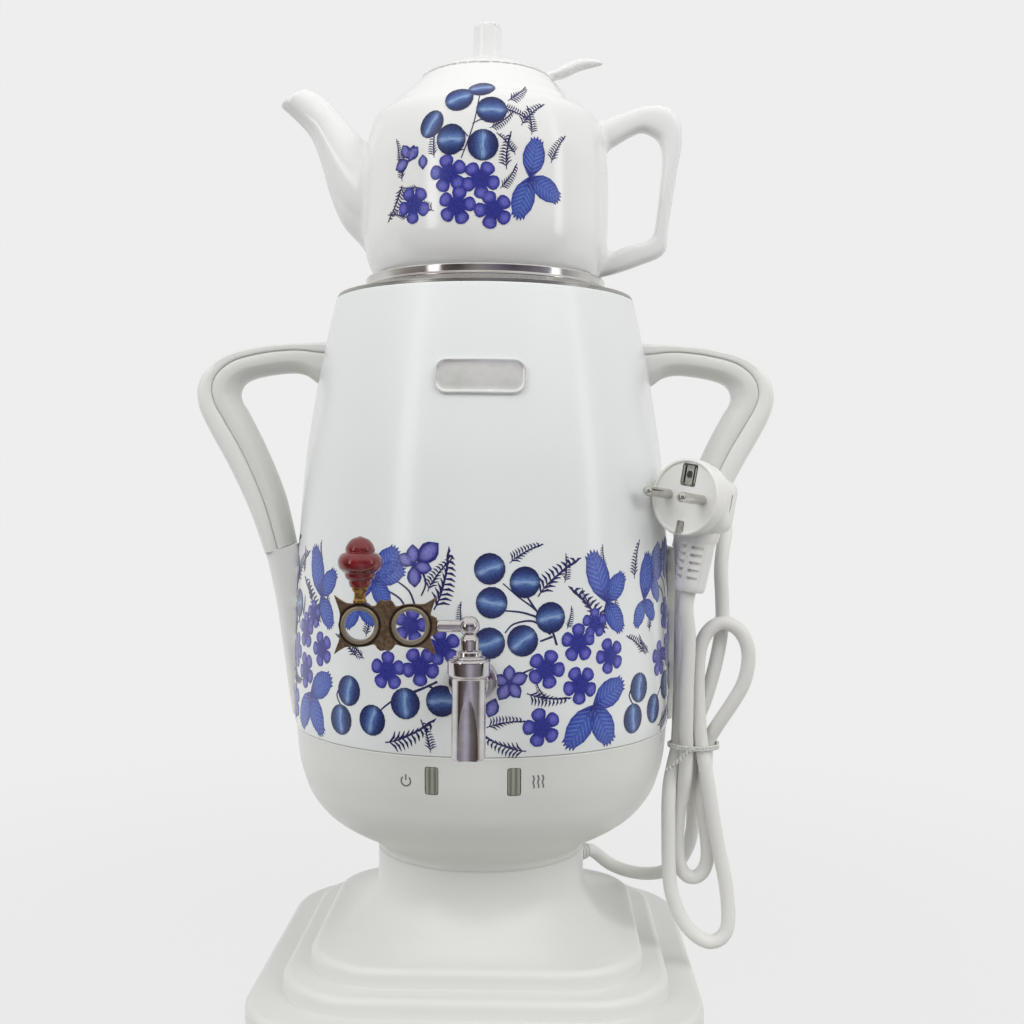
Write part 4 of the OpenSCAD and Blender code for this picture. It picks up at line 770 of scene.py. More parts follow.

# ---- Side handles -----------------------------------------------------------------------------
# Each handle is two mouldings that meet in a groove along its sides: a smooth white outer strip
# that runs on down into the foot, and a greyer inner grip. The strip's white is lighter than the
# pedestal's as painted light, and the grip's greyer tone is partly painted shade. Two hidden screws
# hold each of them.
HANDLE_RUN = [(78, 326.5, 78, 301, 11, 0.5), (87, 326, 86, 305.2, 11, 0.5), (93, 325.7, 91.5, 309, 11, 0.5),
              (101, 325.2, 98, 310.6, 11, 0.5), (116, 323.7, 107.5, 310, 11, 0.45),
              (132.5, 319.4, 118, 308, 11, 0.4), (143.2, 311.6, 124.4, 305, 11, 0.3),
              (147.6, 302.6, 127, 300, 11, 0.2), (146.9, 292.5, 126, 295.2, 11, 0.1),
              (141.6, 280.7, 122.8, 290, 11, 0.05), (131.4, 262.3, 113.6, 272, 11, 0),
              (120.6, 239.5, 103.8, 248, 11, 0), (112.6, 217.2, 97.6, 222.6, 11, 0)]
HANDLE_FOOT = [(112.5, 216.9, 95.4, 222.8, 11, -1), (111, 211.5, 92.5, 216.5, 10.8, -1),
               (106.9, 192.7, 90, 196, 10.5, -1), (103.7, 171.9, 90, 173, 10, -1),
               (100.4, 148, 90, 148, 9, -1), (98.3, 134.5, 90, 134.5, 8, -1)]
COVER_LOOP = ((0, 0), (0, 0.35), (0.05, 0.65), (0.16, 0.88), (0.34, 1), (0.7, 1), (0.88, 0.985), (0.96, 0.94),
              (1, 0.86), (1, 0.4))
GRIP_LOOP = ((0, 0.4), (0, 0.86), (0.04, 0.94), (0.12, 0.985), (0.3, 1), (0.5, 0.99), (0.58, 0.95),
             (0.72, 0.8), (0.9, 0.58), (0.97, 0.46), (1, 0.3), (1, 0))
# Painted light: the covers' white is a lighter copy of the pedestal's white plastic.
cover_plastic_painted_light = moulded("white_handle_plastic_painted_light", "e9e9e5", "e6e6e2", 0.3, 1800, 1.2e-5)
# Painted shade in part: the grips' slightly greyer tone stands partly for the shade on their inward faces.
grey_plastic = moulded("satin_grip_plastic_with_painted_shade", "dfdfda", "dcdcd7", 0.34, 1500, 1.6e-5)


def handle_rings(stations, loop, is_cover, mirror):
    """Rings along a handle from stations of outer edge, inner edge, half width and seam; where they
    would reach into the shell, they end on its wall."""
    rings = []
    for ox, oz, ix, iz, half, seam in through(stations, 9):
        share = min(1.0, (1 - seam) / 2)
        ring = []
        for u, v in list(loop) + [(u, -v) for u, v in loop[::-1] if v]:
            w = u * share if is_cover else share + u * (1 - share)
            x, y, z = ox + w * (ix - ox), v * half, oz + w * (iz - oz)
            wall = np.interp(z, shell_line[:, 1], shell_line[:, 0]) - 0.4
            short = wall - math.hypot(x, y)
            if short > 0:
                x = math.sqrt(max(wall * wall - y * y, 1))
            ring.append((mirror * x, y, z))
        rings.append(ring)
    return rings


for side_name, mirror in (("left", -1), ("right", 1)):
    for part, stations, loop, material, finish_slot in (
            ("cover", (HANDLE_RUN, HANDLE_FOOT), COVER_LOOP, cover_plastic_painted_light, "white_plastic"),
            ("grip", (HANDLE_RUN,), GRIP_LOOP, grey_plastic, "grey_plastic")):
        rings = [ring for run in stations for ring in handle_rings(run, loop, part == "cover", mirror)]
        piece = solid(f"{side_name}_{part}", *loft(rings), material, 50)
        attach(piece, "boiler")
        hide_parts(f"{side_name}_handle_{part}")

# ---- Badge ------------------------------------------------------------------------------------
# A thin stamped plate with a silvered face, bent to the shell and glued on. Its rim is raised and
# bright, and its field is bare.
silvered, tree, shader = finish("silvered_plate", metallic=0.5)
where = place_of(tree)
film = noise(tree, where, 120, 4, 0.6)
toned(tree, shader, film, [(0.3, "dededb"), (0.7, "eaeae8")], [(0.35, 0.2), (0.8, 0.3)])
relief(tree, shader, noise(tree, where, 260, 2), 1e-5, 0.4)


def bridged(rings):
    """A loft whose last ring, even about its middle line, is closed by a strip of quads."""
    points, faces = loft(rings)
    count = len(rings[0])
    last = (len(rings) - 1) * count
    faces.pop(1)
    for i in range(count // 2 - 1):
        faces.append((last + i, last + i + 1, last + count - 2 - i, last + count - 1 - i))
    return points, faces


BADGE_X, BADGE_Z, BADGE_HALF_W, BADGE_HALF_H, BADGE_ROUND = 1.6, 302.8, 20.85, 8.05, 5.8
badge_rings = []
for in_by, off in ((0.1, -0.2), (0, 0.2), (0, 1.0), (0.15, 1.3), (0.5, 1.45), (1.0, 1.4), (1.35, 1.1),
                   (1.6, 0.85), (2.1, 0.78), (4.0, 0.8), (6.0, 0.82), (7.4, 0.82)):
    shape = rounded_square(BADGE_HALF_W - in_by, BADGE_HALF_H - in_by, max(0.3, BADGE_ROUND - in_by), 120)
    badge_rings.append(laid_on(shell_line, [(BADGE_X + x, BADGE_Z + z, off) for x, z in shape]))
badge = solid("badge", *bridged(badge_rings), silvered, 60)
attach(badge, "boiler")
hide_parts("badge_plate")

# ---- Tap body ---------------------------------------------------------------------------------
# Cast brass, turned, polished and chromed: an upright barrel with a hollowed spout, and an arm
# whose flange is pulled against the shell by its threaded tail. A dark washer lies between.
TAP_Y, TAP_Z, SPOUT_Z, PLUG_FOOT, BARREL_TOP, BARREL_R = -130, 167, 140, 158, 182, 7.1
ARM_R, FLANGE_R, TAIL_END, SCOOP_R, SCOOP_HIGH = 6.5, 11, 56.7, 9, 34
chromed, tree, shader = finish("chromed_brass", metallic=1.0)
where = place_of(tree)
smear = noise(tree, where, 110, 5, 0.65)
toned(tree, shader, smear, [(0.3, "bdb8ba"), (0.55, "cfcbcb"), (0.75, "dbd8d7")],
      [(0.35, 0.04), (0.8, 0.13)], noise(tree, where, 330, 4, 0.6))
relief(tree, shader, noise(tree, where, 210, 3), 3e-5, 0.4)
spout_lip = [(0, SPOUT_Z), (BARREL_R - 0.6, SPOUT_Z), (BARREL_R, SPOUT_Z + 0.6, 0.3)]
barrel_head = [(r, BARREL_TOP + z, *bend) for r, z, *bend in (
    (BARREL_R, -8, 0.6), (8.5, -7, 0.3), (8.9, -6.4, 0.3), (8.9, -0.8, 0.3), (8.1, 0, 0.2), (0, 0))]
barrel = turning(arcs(spout_lip + barrel_head, 4), 96, centre=(0, TAP_Y))
face = float(np.interp(TAP_Z - FLANGE_R, shell_line[:, 1], shell_line[:, 0])) + 0.1
along_arm = Matrix.Translation((0, TAP_Y, TAP_Z)) @ Matrix.Rotation(math.radians(-90), 4, "X")
reach = -TAP_Y - face - 4.5
arm_line = arcs([(0, 0), (ARM_R, 0), (ARM_R, reach - 0.6, 1.2), (9, reach, 0.5), (FLANGE_R, reach + 1.2, 0.6),
                 (FLANGE_R, reach + 2.5, 0.3), (ARM_R, reach + 2.5), (ARM_R, TAIL_END), (0, TAIL_END)], 5)
tap = solid("tap_casting", *barrel, chromed, 30)
cut(tap, solid("arm_tool", *stood(along_arm, turning(arm_line, 96)), chromed), 30, "UNION", "MANIFOLD")
scoop_line = [(SCOOP_R * math.cos(a), SPOUT_Z + 3 + SCOOP_HIGH * math.sin(a))
              for a in np.linspace(-math.pi / 2, math.pi / 2, 40)]
scoop = turning(scoop_line, 96, centre=(0, TAP_Y - BARREL_R - SCOOP_R + 2.4))
bore = turning([(0, SPOUT_Z - 1), (4.2, SPOUT_Z - 1), (4.2, PLUG_FOOT), (4.95, PLUG_FOOT),
                (4.95, BARREL_TOP + 1), (0, BARREL_TOP + 1)], 48, centre=(0, TAP_Y))
tail_bore = turning([(0, 0), (3.2, 0), (3.2, 60), (0, 60)], 32)
for name, tool in (("scoop_tool", scoop), ("bore_tool", bore), ("tail_tool", stood(along_arm, tail_bore))):
    cut(tap, solid(name, *tool, chromed), 30, solver="MANIFOLD")
step = tap.modifiers.new("soft edges", "BEVEL")
step.width, step.segments, step.limit_method, step.angle_limit = 0.00035, 2, "ANGLE", math.radians(32)
applied(tap, 30)
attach(tap, "boiler")
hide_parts("tap_body")
washer_line = arcs([(ARM_R + 0.1, reach + 2.5), (FLANGE_R - 0.4, reach + 2.5), (FLANGE_R, reach + 3, 0.3),
                    (FLANGE_R, reach + 4.4, 0.3), (ARM_R + 0.1, reach + 4.4)])
washer = solid("tap_washer_ring", *stood(along_arm, turning(washer_line, 96, closed=True)), foot_rubber, 40)
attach(washer, "boiler")
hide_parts("tap_washer")
red_rubber = moulded("red_rubber", "8f3a33", "7c2f2a", 0.6, 1500, 3e-5)
yellow_brass, tree, shader = finish("turned_brass", metallic=1.0)
streak = noise(tree, place_of(tree, (1, 1, 12)), 160, 4, 0.6)
toned(tree, shader, streak, [(0.3, "8a6a3c"), (0.7, "b8935a")], [(0.3, 0.18), (0.75, 0.36)])
relief(tree, shader, streak, 1.5e-5, 0.4)
dress(red_rubber, "tap_seal")
dress(yellow_brass, "tap_nut")

# ---- Bonnet, spindle and rod ------------------------------------------------------------------
# A stepped chromed bonnet closes the barrel. The spindle turns in it; its ball carries the short
# rod that the lever plate is fixed to.
bonnet_line = arcs([(r, BARREL_TOP + z, *bend) for r, z, *bend in (
    (3.3, 0), (7, 0), (7.2, 0.4, 0.2), (6.6, 1, 0.2), (5.4, 1.3, 0.2), (5.4, 2.9, 0.3), (4.9, 3.4, 0.2),
    (3.3, 3.4))], 4)
bonnet = solid("bonnet_cap", *turning(bonnet_line, 72, centre=(0, TAP_Y), closed=True), chromed, 32)
BALL_R, LEVER_Z = 4.3, 195.5
ball = [(BALL_R * math.cos(a), LEVER_Z + BALL_R * math.sin(a)) for a in np.linspace(-0.9, math.pi / 2, 26)]
PLUG_R, NECK_Z = 4.9, BARREL_TOP + 3.8
plug_line = [(0, PLUG_FOOT + 0.5), (PLUG_R, PLUG_FOOT + 0.5), (PLUG_R, BARREL_TOP - 0.3),
             (3.2, BARREL_TOP - 0.3), (3.2, NECK_Z)]
neck_line = arcs([(3.2, NECK_Z), (4.1, NECK_Z), (4.1, NECK_Z + 4.4, 0.5), (3.1, NECK_Z + 5.4, 0.5),
                  (2.6, ball[0][1])], 5)
spindle_line = plug_line + neck_line[1:] + ball[:-1] + [(0, LEVER_Z + BALL_R)]
spindle = solid("spindle_ball", *turning(spindle_line, 72, centre=(0, TAP_Y)), chromed, 34)
along_rod = Matrix.Translation((0, TAP_Y, LEVER_Z)) @ Matrix.Rotation(math.radians(-90), 4, "Y")
rod_line = arcs([(0, 3), (2.5, 3), (2.5, 13, 0.3), (2.2, 13.4, 0.2), (0.9, 13.4), (0.9, 16.5), (0, 16.5)])
rod = solid("lever_rod_pin", *stood(along_rod, turning(rod_line, 48)), chromed, 34)
for piece, node, body in ((bonnet, "tap_bonnet", "boiler"), (spindle, "tap_spindle", "lever"),
                          (rod, "lever_rod", "lever")):
    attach(piece, body)
    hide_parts(node)

# ---- Lever plate ------------------------------------------------------------------------------
# A flat brass casting with an antique brown finish, shaped like a bow round two rings. Each ring
# has a raised rim worn bright, and the field between is left rough from the sand.
PLATE_QUARTER = [
    (0, 10.3), (1.8, 10.6), (3.2, 9.6), (4.1, 8.3), (5.2, 8), (7.5, 8.7), (10.7, 9.1), (13.8, 9), (16.2, 9.2),
    (18.6, 10.4), (21.3, 12.3), (20.4, 9.6), (19.4, 6.8), (18.9, 4.5), (19.1, 2.2), (19.5, 0)]
PLATE_MID, RING_GAP, RING_HOLE, TONGUE_END, TONGUE_HALF = -35, 10.66, 6.3, 21.5, 3.2
antique, tree, shader = finish("antique_brass", metallic=0.85)
where = place_of(tree)
cast = noise(tree, where, 620, 5, 0.65)
patina = noise(tree, where, 90, 4, 0.6)
spread = mixed(tree, patina, "5c553e", "8a6750")
field = mixed(tree, ramp(tree, cast, [(0.42, 0.0), (0.7, 0.8)]), spread, "a39378")
in_plane = add(tree, "ShaderNodeMapping", {"Vector": where, "Scale": (1, 0, 1)}).outputs[0]
from_rings = []
for x in (PLATE_MID - RING_GAP, PLATE_MID + RING_GAP):
    from_rings.append(add(tree, "ShaderNodeVectorMath", {0: in_plane, 1: (x * MM, 0, LEVER_Z * MM)},
                          operation="DISTANCE").outputs["Value"])
nearest = rescaled(tree, maths(tree, "MINIMUM", *from_rings), 0.006, 0.0105)
groove = ramp(tree, nearest, [(0.42, 0.0), (0.5, 0.85), (0.62, 0.85), (0.74, 0.0)])
rim_share = ramp(tree, nearest, [(0.1, 1.0), (0.36, 1.0), (0.44, 0.0), (1.0, 0.0)])
field = mixed(tree, groove, field, "1f1a14")
tree.links.new(mixed(tree, rim_share, field, "a9a08b"), shader.inputs["Base Color"])
tree.links.new(ramp(tree, cast, [(0.35, 0.3), (0.75, 0.5)]), shader.inputs["Roughness"])
relief(tree, shader, cast, 1.6e-4, 0.6)


def flat_plate(name, loops, half, bevel):
    """A plate in the XZ plane filled between closed loops of (x, z), with its edges rounded."""
    curve = bpy.data.curves.new(name, "CURVE")
    curve.dimensions, curve.fill_mode = "2D", "BOTH"
    curve.extrude, curve.bevel_depth, curve.bevel_resolution = (half - bevel) * MM, bevel * MM, 2
    curve.offset = -bevel * MM
    for loop in loops:
        spline = curve.splines.new("POLY")
        spline.points.add(len(loop) - 1)
        for knot, (x, z) in zip(spline.points, loop):
            knot.co = (x * MM, z * MM, 0, 1)
        spline.use_cyclic_u = True
    holder = bpy.data.objects.new(name, curve)
    scene.collection.objects.link(holder)
    mesh = bpy.data.meshes.new_from_object(holder.evaluated_get(bpy.context.evaluated_depsgraph_get()))
    bpy.data.objects.remove(holder)
    corners = np.array([v.co for v in mesh.vertices]) / MM
    return corners[:, (0, 2, 1)], [tuple(p.vertices) for p in mesh.polygons]


quarter = [tuple(p) for p in [*through(PLATE_QUARTER[:11], 4), *through(PLATE_QUARTER[10:], 4)[1:]]]
edge = quarter[:-1] + [(x, -z) for x, z in quarter[::-1]][:-1]
edge += [(-x, -z) for x, z in quarter[:-1]] + [(-x, z) for x, z in quarter[::-1]][:-1]
# the side towards the tap ends in a square tongue that takes the rod
edge = [(TONGUE_END, math.copysign(min(abs(z), TONGUE_HALF), z)) if x > 18.8 and abs(z) < 4.4 else (x, z)
        for x, z in edge]
around = np.linspace(0, 2 * math.pi, 64, endpoint=False)
holes = [[(mid + RING_HOLE * math.cos(a), RING_HOLE * math.sin(a)) for a in around]
         for mid in (-RING_GAP, RING_GAP)]
parts = [flat_plate("plate_curve", [edge, *holes], 1.15, 0.3)]
for x in (-RING_GAP, RING_GAP):
    rim, quads = turning(arcs([
        (6.2, 0), (6.2, 1.3, 0.2), (6.7, 1.5, 0.3), (7.5, 1.45, 0.3), (8, 1.0, 0.3), (8, -1.0, 0.3),
        (7.5, -1.45, 0.3), (6.7, -1.5, 0.3), (6.2, -1.3, 0.2), (6.2, 0)], 4)[:-1], 64, closed=True)
    parts.append((np.asarray(rim)[:, (0, 2, 1)] + (x, 0, 0), quads))
points, faces = joined(*parts)
plate = solid("bow_plate", np.asarray(points) + (PLATE_MID, TAP_Y, LEVER_Z), faces, antique, 34)
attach(plate, "lever")
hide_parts("lever_plate")

# ---- Knob and its stem ------------------------------------------------------------------------
# A glossy red plastic knob in tiers, moulded over the upper end of a turned brass stem. The stem
# stands on the lever plate's outer ring.
KNOB_X, STEM_Z = PLATE_MID - RING_GAP, 204.8
stem_line = arcs([(r, STEM_Z + z, *bend) for r, z, *bend in (
    (0, -2.2), (1, -2.2), (1, 0), (2.9, 0), (2.9, 1, 0.3), (2.4, 1.6, 0.3), (2.4, 4.2, 0.3), (3.4, 5.4, 0.3),
    (3.4, 6.6), (1.5, 6.6), (1.5, 14.6), (0, 14.6))], 4)
stem = solid("brass_stem", *turning(stem_line, 48, centre=(KNOB_X, TAP_Y)), yellow_brass, 32)
KNOB_TIERS = ((0, 0.44), (0.07, 0.5), (0.13, 0.51), (0.155, 0.6), (0.21, 0.68), (0.27, 0.7), (0.3, 0.76),
              (0.36, 0.93), (0.44, 1), (0.52, 1), (0.6, 0.93), (0.66, 0.8), (0.685, 0.66), (0.73, 0.67),
              (0.8, 0.63), (0.88, 0.52), (0.95, 0.33), (1, 0))
red_gloss, tree, shader = finish("red_gloss_plastic", ior=1.5, roughness=0.14, coat_weight=0.6,
                                 coat_roughness=0.05, subsurface_weight=0.05)
swirl = noise(tree, place_of(tree, (1, 1, 0.4)), 210, 4, 0.6)
toned(tree, shader, swirl, [(0.3, "5c1016"), (0.7, "7e1a20")])
relief(tree, shader, noise(tree, place_of(tree), 500, 2), 2e-5, 0.3)
KNOB_R, KNOB_H, KNOB_FOOT = 9.2, 21.2, STEM_Z + 6.6
tiers = [(0, KNOB_FOOT)] + [(max(r * KNOB_R, 0), KNOB_FOOT + h * KNOB_H) for h, r in through(KNOB_TIERS, 4)]
knob = solid("red_cap", *turning(tiers, 64, centre=(KNOB_X, TAP_Y)), red_gloss, 40)
for piece, node, finish_slot in ((stem, "knob_stem", "brass"), (knob, "red_knob", "red_gloss")):
    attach(piece, "lever")
    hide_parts(node)

# ---- Lid and collar ---------------------------------------------------------------------------
# The lid is a stainless pressing that covers the tank's mouth, with steam holes under the teapot.
# A polished rolled collar stands on it and keeps the teapot in place.
spun, tree, shader = finish("spun_stainless", metallic=1.0)
where = place_of(tree)
in_plan = add(tree, "ShaderNodeMapping", {"Vector": where, "Scale": (1, 1, 0)}).outputs[0]
distance = add(tree, "ShaderNodeVectorMath", {0: in_plan}, operation="LENGTH").outputs["Value"]
rounds = noise(tree, add(tree, "ShaderNodeCombineXYZ", {0: distance}).outputs[0], 2600, 3, 0.6)
worn = noise(tree, where, 75, 6, 0.65)
toned(tree, shader, worn, [(0.3, "a9a7a3"), (0.7, "c6c4c1")], [(0.3, 0.22), (0.75, 0.4)])
relief(tree, shader, rounds, 1.2e-5, 0.4)
COLLAR_R, SEAT_Z, BRIM_R, SKIRT_R, STEAM_R = 60, 352.5, 75.2, 70.6, 30
lid_line = arcs([(r, SEAT_Z + z, *bend) for r, z, *bend in (
    (0, 0), (COLLAR_R + 3.4, 0, 1.5), (66, -0.9, 1.5), (72, -3.4, 1.2), (73.2, -3.7, 0.4),
    (BRIM_R, -3.7, 0.4), (BRIM_R, -4.7, 0.3), (SKIRT_R, -4.7), (SKIRT_R, -13.5), (SKIRT_R - 1, -13.5),
    (SKIRT_R - 1, -5.5), (65, -1.9, 2), (COLLAR_R, -1), (0, -1))], 5)
lid = solid("steel_lid", *turning(lid_line, 192), spun, 38)
holes = [turning([(0, SEAT_Z - 5), (2.5, SEAT_Z - 5), (2.5, SEAT_Z + 3), (0, SEAT_Z + 3)], 32,
                 centre=(STEAM_R * math.cos(k * math.pi / 4), STEAM_R * math.sin(k * math.pi / 4)))
         for k in range(8)]
cut(lid, solid("steam_tool", *joined(*holes), spun), 38)
polished, tree, shader = finish("polished_collar", metallic=1.0)
where = place_of(tree)
film = noise(tree, where, 60, 5, 0.6)
heat = noise(tree, place_of(tree, (1, 1, 3)), 26, 3, 0.5)
base = ramp(tree, film, [(0.3, "cfcdca"), (0.7, "e2e1df")])
tinted = mixed(tree, ramp(tree, heat, [(0.5, 0.0), (0.72, 0.55)]), base, "a08f8c")
tree.links.new(tinted, shader.inputs["Base Color"])
tree.links.new(ramp(tree, film, [(0.3, 0.07), (0.8, 0.2)]), shader.inputs["Roughness"])
relief(tree, shader, noise(tree, where, 300, 3), 1.5e-5, 0.4)
collar_line = arcs([(COLLAR_R + out, SEAT_Z + z, *bend) for out, z, *bend in (
    (0, 0), (3, 0, 0.2), (3, 0.6, 0.3), (1.2, 1.2, 0.6), (1.2, 4.9, 0.4), (0.6, 5.5, 0.3), (0, 5.5, 0.3),
    (0, 1))], 5)
collar = solid("rolled_collar", *turning(collar_line, 192, closed=True), polished, 50)
for piece, node, finish_slot in ((lid, "boiler_lid", "steel"), (collar, "teapot_collar", "chrome")):
    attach(piece, "lid")
    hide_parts(node)

# ---- Teapot -----------------------------------------------------------------------------------
# Slip-cast white porcelain with a clear glaze. Body, spout and handle are luted together wet and
# fired as one, so that their joints are soft. Only the foot ring is left without glaze, though here it
# has the same glazed finish as the rest.
POT_BODY = ((0, 0), (0.22, 0.03), (0.52, 0.075), (0.8, 0.14), (0.97, 0.23), (1, 0.34), (1, 0.48),
            (0.94, 0.62))
POT_DOME = ((0.86, 0.775), (0.62, 0.845), (0.35, 0.91), (0.12, 0.967), (0, 1))
POT_R, FOOT_R, POT_H, LEDGE_R = 62.5, 52, 107, 33.5
SPOUT_RUN = [(-54, 362, -50, 428, 20), (-64, 375.5, -58, 424, 18), (-74, 387, -63, 430, 14.5),
             (-80.5, 402, -69, 436.5, 11.5), (-84.5, 416, -75, 443, 9.5), (-90, 430.5, -81, 449.5, 8),
             (-97.5, 439.5, -87, 454, 7), (-106.5, 447.5, -93, 456.5, 6.6)]
GRIP_RUN = [(51, 438, 56, 420, 6.5), (62, 441.3, 65.5, 427.5, 6.5), (78.3, 447.2, 78, 434.5, 6.3),
            (91, 447.6, 85, 432.8, 6.2), (98.5, 441, 89, 428.5, 6), (100, 430, 90.2, 420, 6),
            (97.1, 410.7, 89.3, 408, 5.8), (93.5, 386, 86.6, 385, 5.8), (91.5, 373, 83, 379.5, 5.8),
            (78, 366.5, 74, 377, 5.8), (64, 361.8, 63, 373, 6), (55, 359.8, 55, 371, 6.3)]
glaze, tree, shader = finish("glazed_porcelain", ior=1.52, coat_weight=0.5, coat_roughness=0.04)
where = place_of(tree)
toned(tree, shader, noise(tree, where, 14, 1), [(0.25, "ebebe9"), (0.75, "eeeeec")],
      [(0.3, 0.12), (0.75, 0.16)], noise(tree, where, 400, 2))
relief(tree, shader, noise(tree, where, 130, 3), 6e-5, 0.4)


def pot_outline(inward):
    """The teapot's profile from its foot to its mouth, moved in by the wall."""
    low = [(FOOT_R - inward + a * (POT_R - FOOT_R), SEAT_Z + inward + b * (POT_H - inward))
           for a, b in POT_BODY]
    high = [(LEDGE_R - inward * (1 if a > 0.3 else 0.9) + a * (POT_R - LEDGE_R),
             SEAT_Z + b * POT_H - inward * (1 - a)) for a, b in POT_DOME]
    return through(low + high, 8)


def oval(station, inward=0.0, count=40, square=2.0):
    """A ring round a station of outer edge, inner edge and half width; square above 2 flattens it."""
    ox, oz, ix, iz, half = station
    mid, out = np.array((ox + ix, oz + iz)) / 2, np.array((ox - ix, oz - iz)) / 2
    out = out * (1 - inward / np.linalg.norm(out))
    ring = []
    for a in np.linspace(0, 2 * math.pi, count, endpoint=False):
        c, s = (math.copysign(abs(f) ** (2 / square), f) for f in (math.cos(a), math.sin(a)))
        ring.append((mid[0] + out[0] * c, (half - inward) * s, mid[1] + out[1] * c))
    return ring


def fired(piece, voxel, seams, passes, profile):
    """One skin round the piece's overlapping solids, softened where seams(points) is near 1; the
    rest goes back to the turned profile."""
    step = piece.modifiers.new("fused", "REMESH")
    step.mode, step.voxel_size, step.use_smooth_shade = "VOXEL", voxel * MM, True
    mesh = applied(piece, 180).data
    count = len(mesh.vertices)
    co = np.empty(count * 3)
    mesh.vertices.foreach_get("co", co)
    co = co.reshape(-1, 3) / MM
    ends = np.empty(len(mesh.edges) * 2, np.int32)
    mesh.edges.foreach_get("vertices", ends)
    a, b = ends.reshape(-1, 2).T
    degree = np.bincount(a, minlength=count) + np.bincount(b, minlength=count)
    soft = np.clip(seams(co), 0, 1)
    for k in range(passes):
        near = np.stack([np.bincount(a, co[b, i], count) + np.bincount(b, co[a, i], count)
                         for i in range(3)], 1)
        weight = np.maximum(soft, 0.5 if k < 4 else 0.0)[:, None]
        co += weight * 0.55 * (near / degree[:, None] - co)
    line = spaced(profile, 0.25)
    radial = np.hypot(co[:, 0], co[:, 1])
    for start in range(0, count, 4000):
        part = slice(start, start + 4000)
        gap = (radial[part, None] - line[:, 0]) ** 2 + (co[part, 2, None] - line[:, 1]) ** 2
        aim = line[gap.argmin(1)]
        pull = (np.sqrt(gap.min(1)) < 0.9) * (1 - soft[part])
        scale = 1 + pull * (aim[:, 0] / np.maximum(radial[part], 1e-6) - 1)
        co[part, :2] *= scale[:, None]
        co[part, 2] += pull * (aim[:, 1] - co[part, 2])
    mesh.vertices.foreach_set("co", (co * MM).ravel())
    mesh.update()


pot_line = pot_outline(0)
POT_TOP = SEAT_Z + POT_H
foot_ring = [(0, SEAT_Z + 1.6), (FOOT_R - 5, SEAT_Z + 1.6), (FOOT_R - 4, SEAT_Z)]
body_line = foot_ring + [tuple(p) for p in pot_line] + [(LEDGE_R - 0.8, POT_TOP + 0.3), (0, POT_TOP + 0.3)]
spout_run, grip_run = through(SPOUT_RUN, 8), through(GRIP_RUN, 8)
teapot = solid("teapot_casting", *joined(turning(body_line, 160), loft([oval(s) for s in spout_run]),
                                         loft([oval(s, square=3.2) for s in grip_run])), glaze, 40)


def pot_seams(co):
    """Near 1 where spout and handle leave the body, 0 on the free body."""
    x, y, z = co[:, 0], np.abs(co[:, 1]), co[:, 2]
    off = np.hypot(x, y) - np.interp(z, pot_line[:, 1], pot_line[:, 0])
    outside = 1 - np.clip((off - 2) / 5, 0, 1)
    spout_edge = np.abs(y - np.interp(z, (364, 380, 400, 426), (18.5, 17, 14, 11))) < 7
    at_spout = (x < -40) & (off > -0.5) & (y < 24) & (z > 357) & (z < 436) & (spout_edge | (off > 0.4))
    at_grip = (x > 45) & (y < 12) & ((z > 412) & (z < 446) | (z > 354) & (z < 378))
    return outside * (at_spout + at_grip * 0.9)


fired(teapot, 1.1, pot_seams, 26, pot_line)
POT_MOUTH_R = 28.5
mouth = [(POT_MOUTH_R, POT_TOP - 1), (POT_MOUTH_R, POT_TOP + 2), (0, POT_TOP + 2)]
hollow = [(0, SEAT_Z + 4)] + [tuple(p) for p in pot_outline(4)] + mouth
cut(teapot, solid("cavity_tool", *turning(hollow, 128), glaze), 34, solver="MANIFOLD")
channel = [oval(s, 2.4, 32) for s in spout_run[-34:]]
channel.append([(x - 2.2, y * 1.15, z + 3.4) for x, y, z in channel[-1]])
cut(teapot, solid("spout_tool", *loft(channel), glaze), 34, solver="MANIFOLD")
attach(teapot, "teapot")
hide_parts("teapot_body")

# ---- Teapot lid -------------------------------------------------------------------------------
# Porcelain too: a low dome with a stout button and a thumb tab towards the handle, with a deep
# flange inside the mouth that keeps it from falling off while pouring.
TAB_RUN = [(27, 463.9, 28, 461.2, 6), (33, 465.5, 35.5, 461.5, 5.6), (38.5, 468.8, 41.5, 463.1, 5),
           (45.5, 471.7, 47, 465.7, 4.2), (53, 472.3, 53, 467.3, 3.2), (60, 470.5, 59, 468.7, 1.6)]
BUTTON_R, BUTTON_TOP, FLANGE_OUT, FLANGE_IN = 7.1, POT_TOP + 29.5, 27.7, 24.5
dome = through([(33.1, POT_TOP), (33.2, POT_TOP + 1.2), (26, POT_TOP + 5), (15, POT_TOP + 8.1),
                (7.7, POT_TOP + 10.2), (BUTTON_R, POT_TOP + 11.2)], 8)
button = arcs([(BUTTON_R, POT_TOP + 12), (BUTTON_R, BUTTON_TOP, 1.5), (0, BUTTON_TOP)], 6)
lid_body = turning([(0, POT_TOP + 0.1), (32.6, POT_TOP + 0.1)] + [tuple(p) for p in dome] + button, 128)
flange_ring = turning(arcs([(FLANGE_IN, POT_TOP - 7), (FLANGE_OUT, POT_TOP - 7, 0.6),
                            (FLANGE_OUT, POT_TOP + 1), (FLANGE_IN, POT_TOP + 1)]), 96, closed=True)
tab = loft([oval(s, count=32) for s in through(TAB_RUN, 6)])
pot_lid = solid("teapot_cover_casting", *joined(lid_body, flange_ring, tab), glaze, 40)


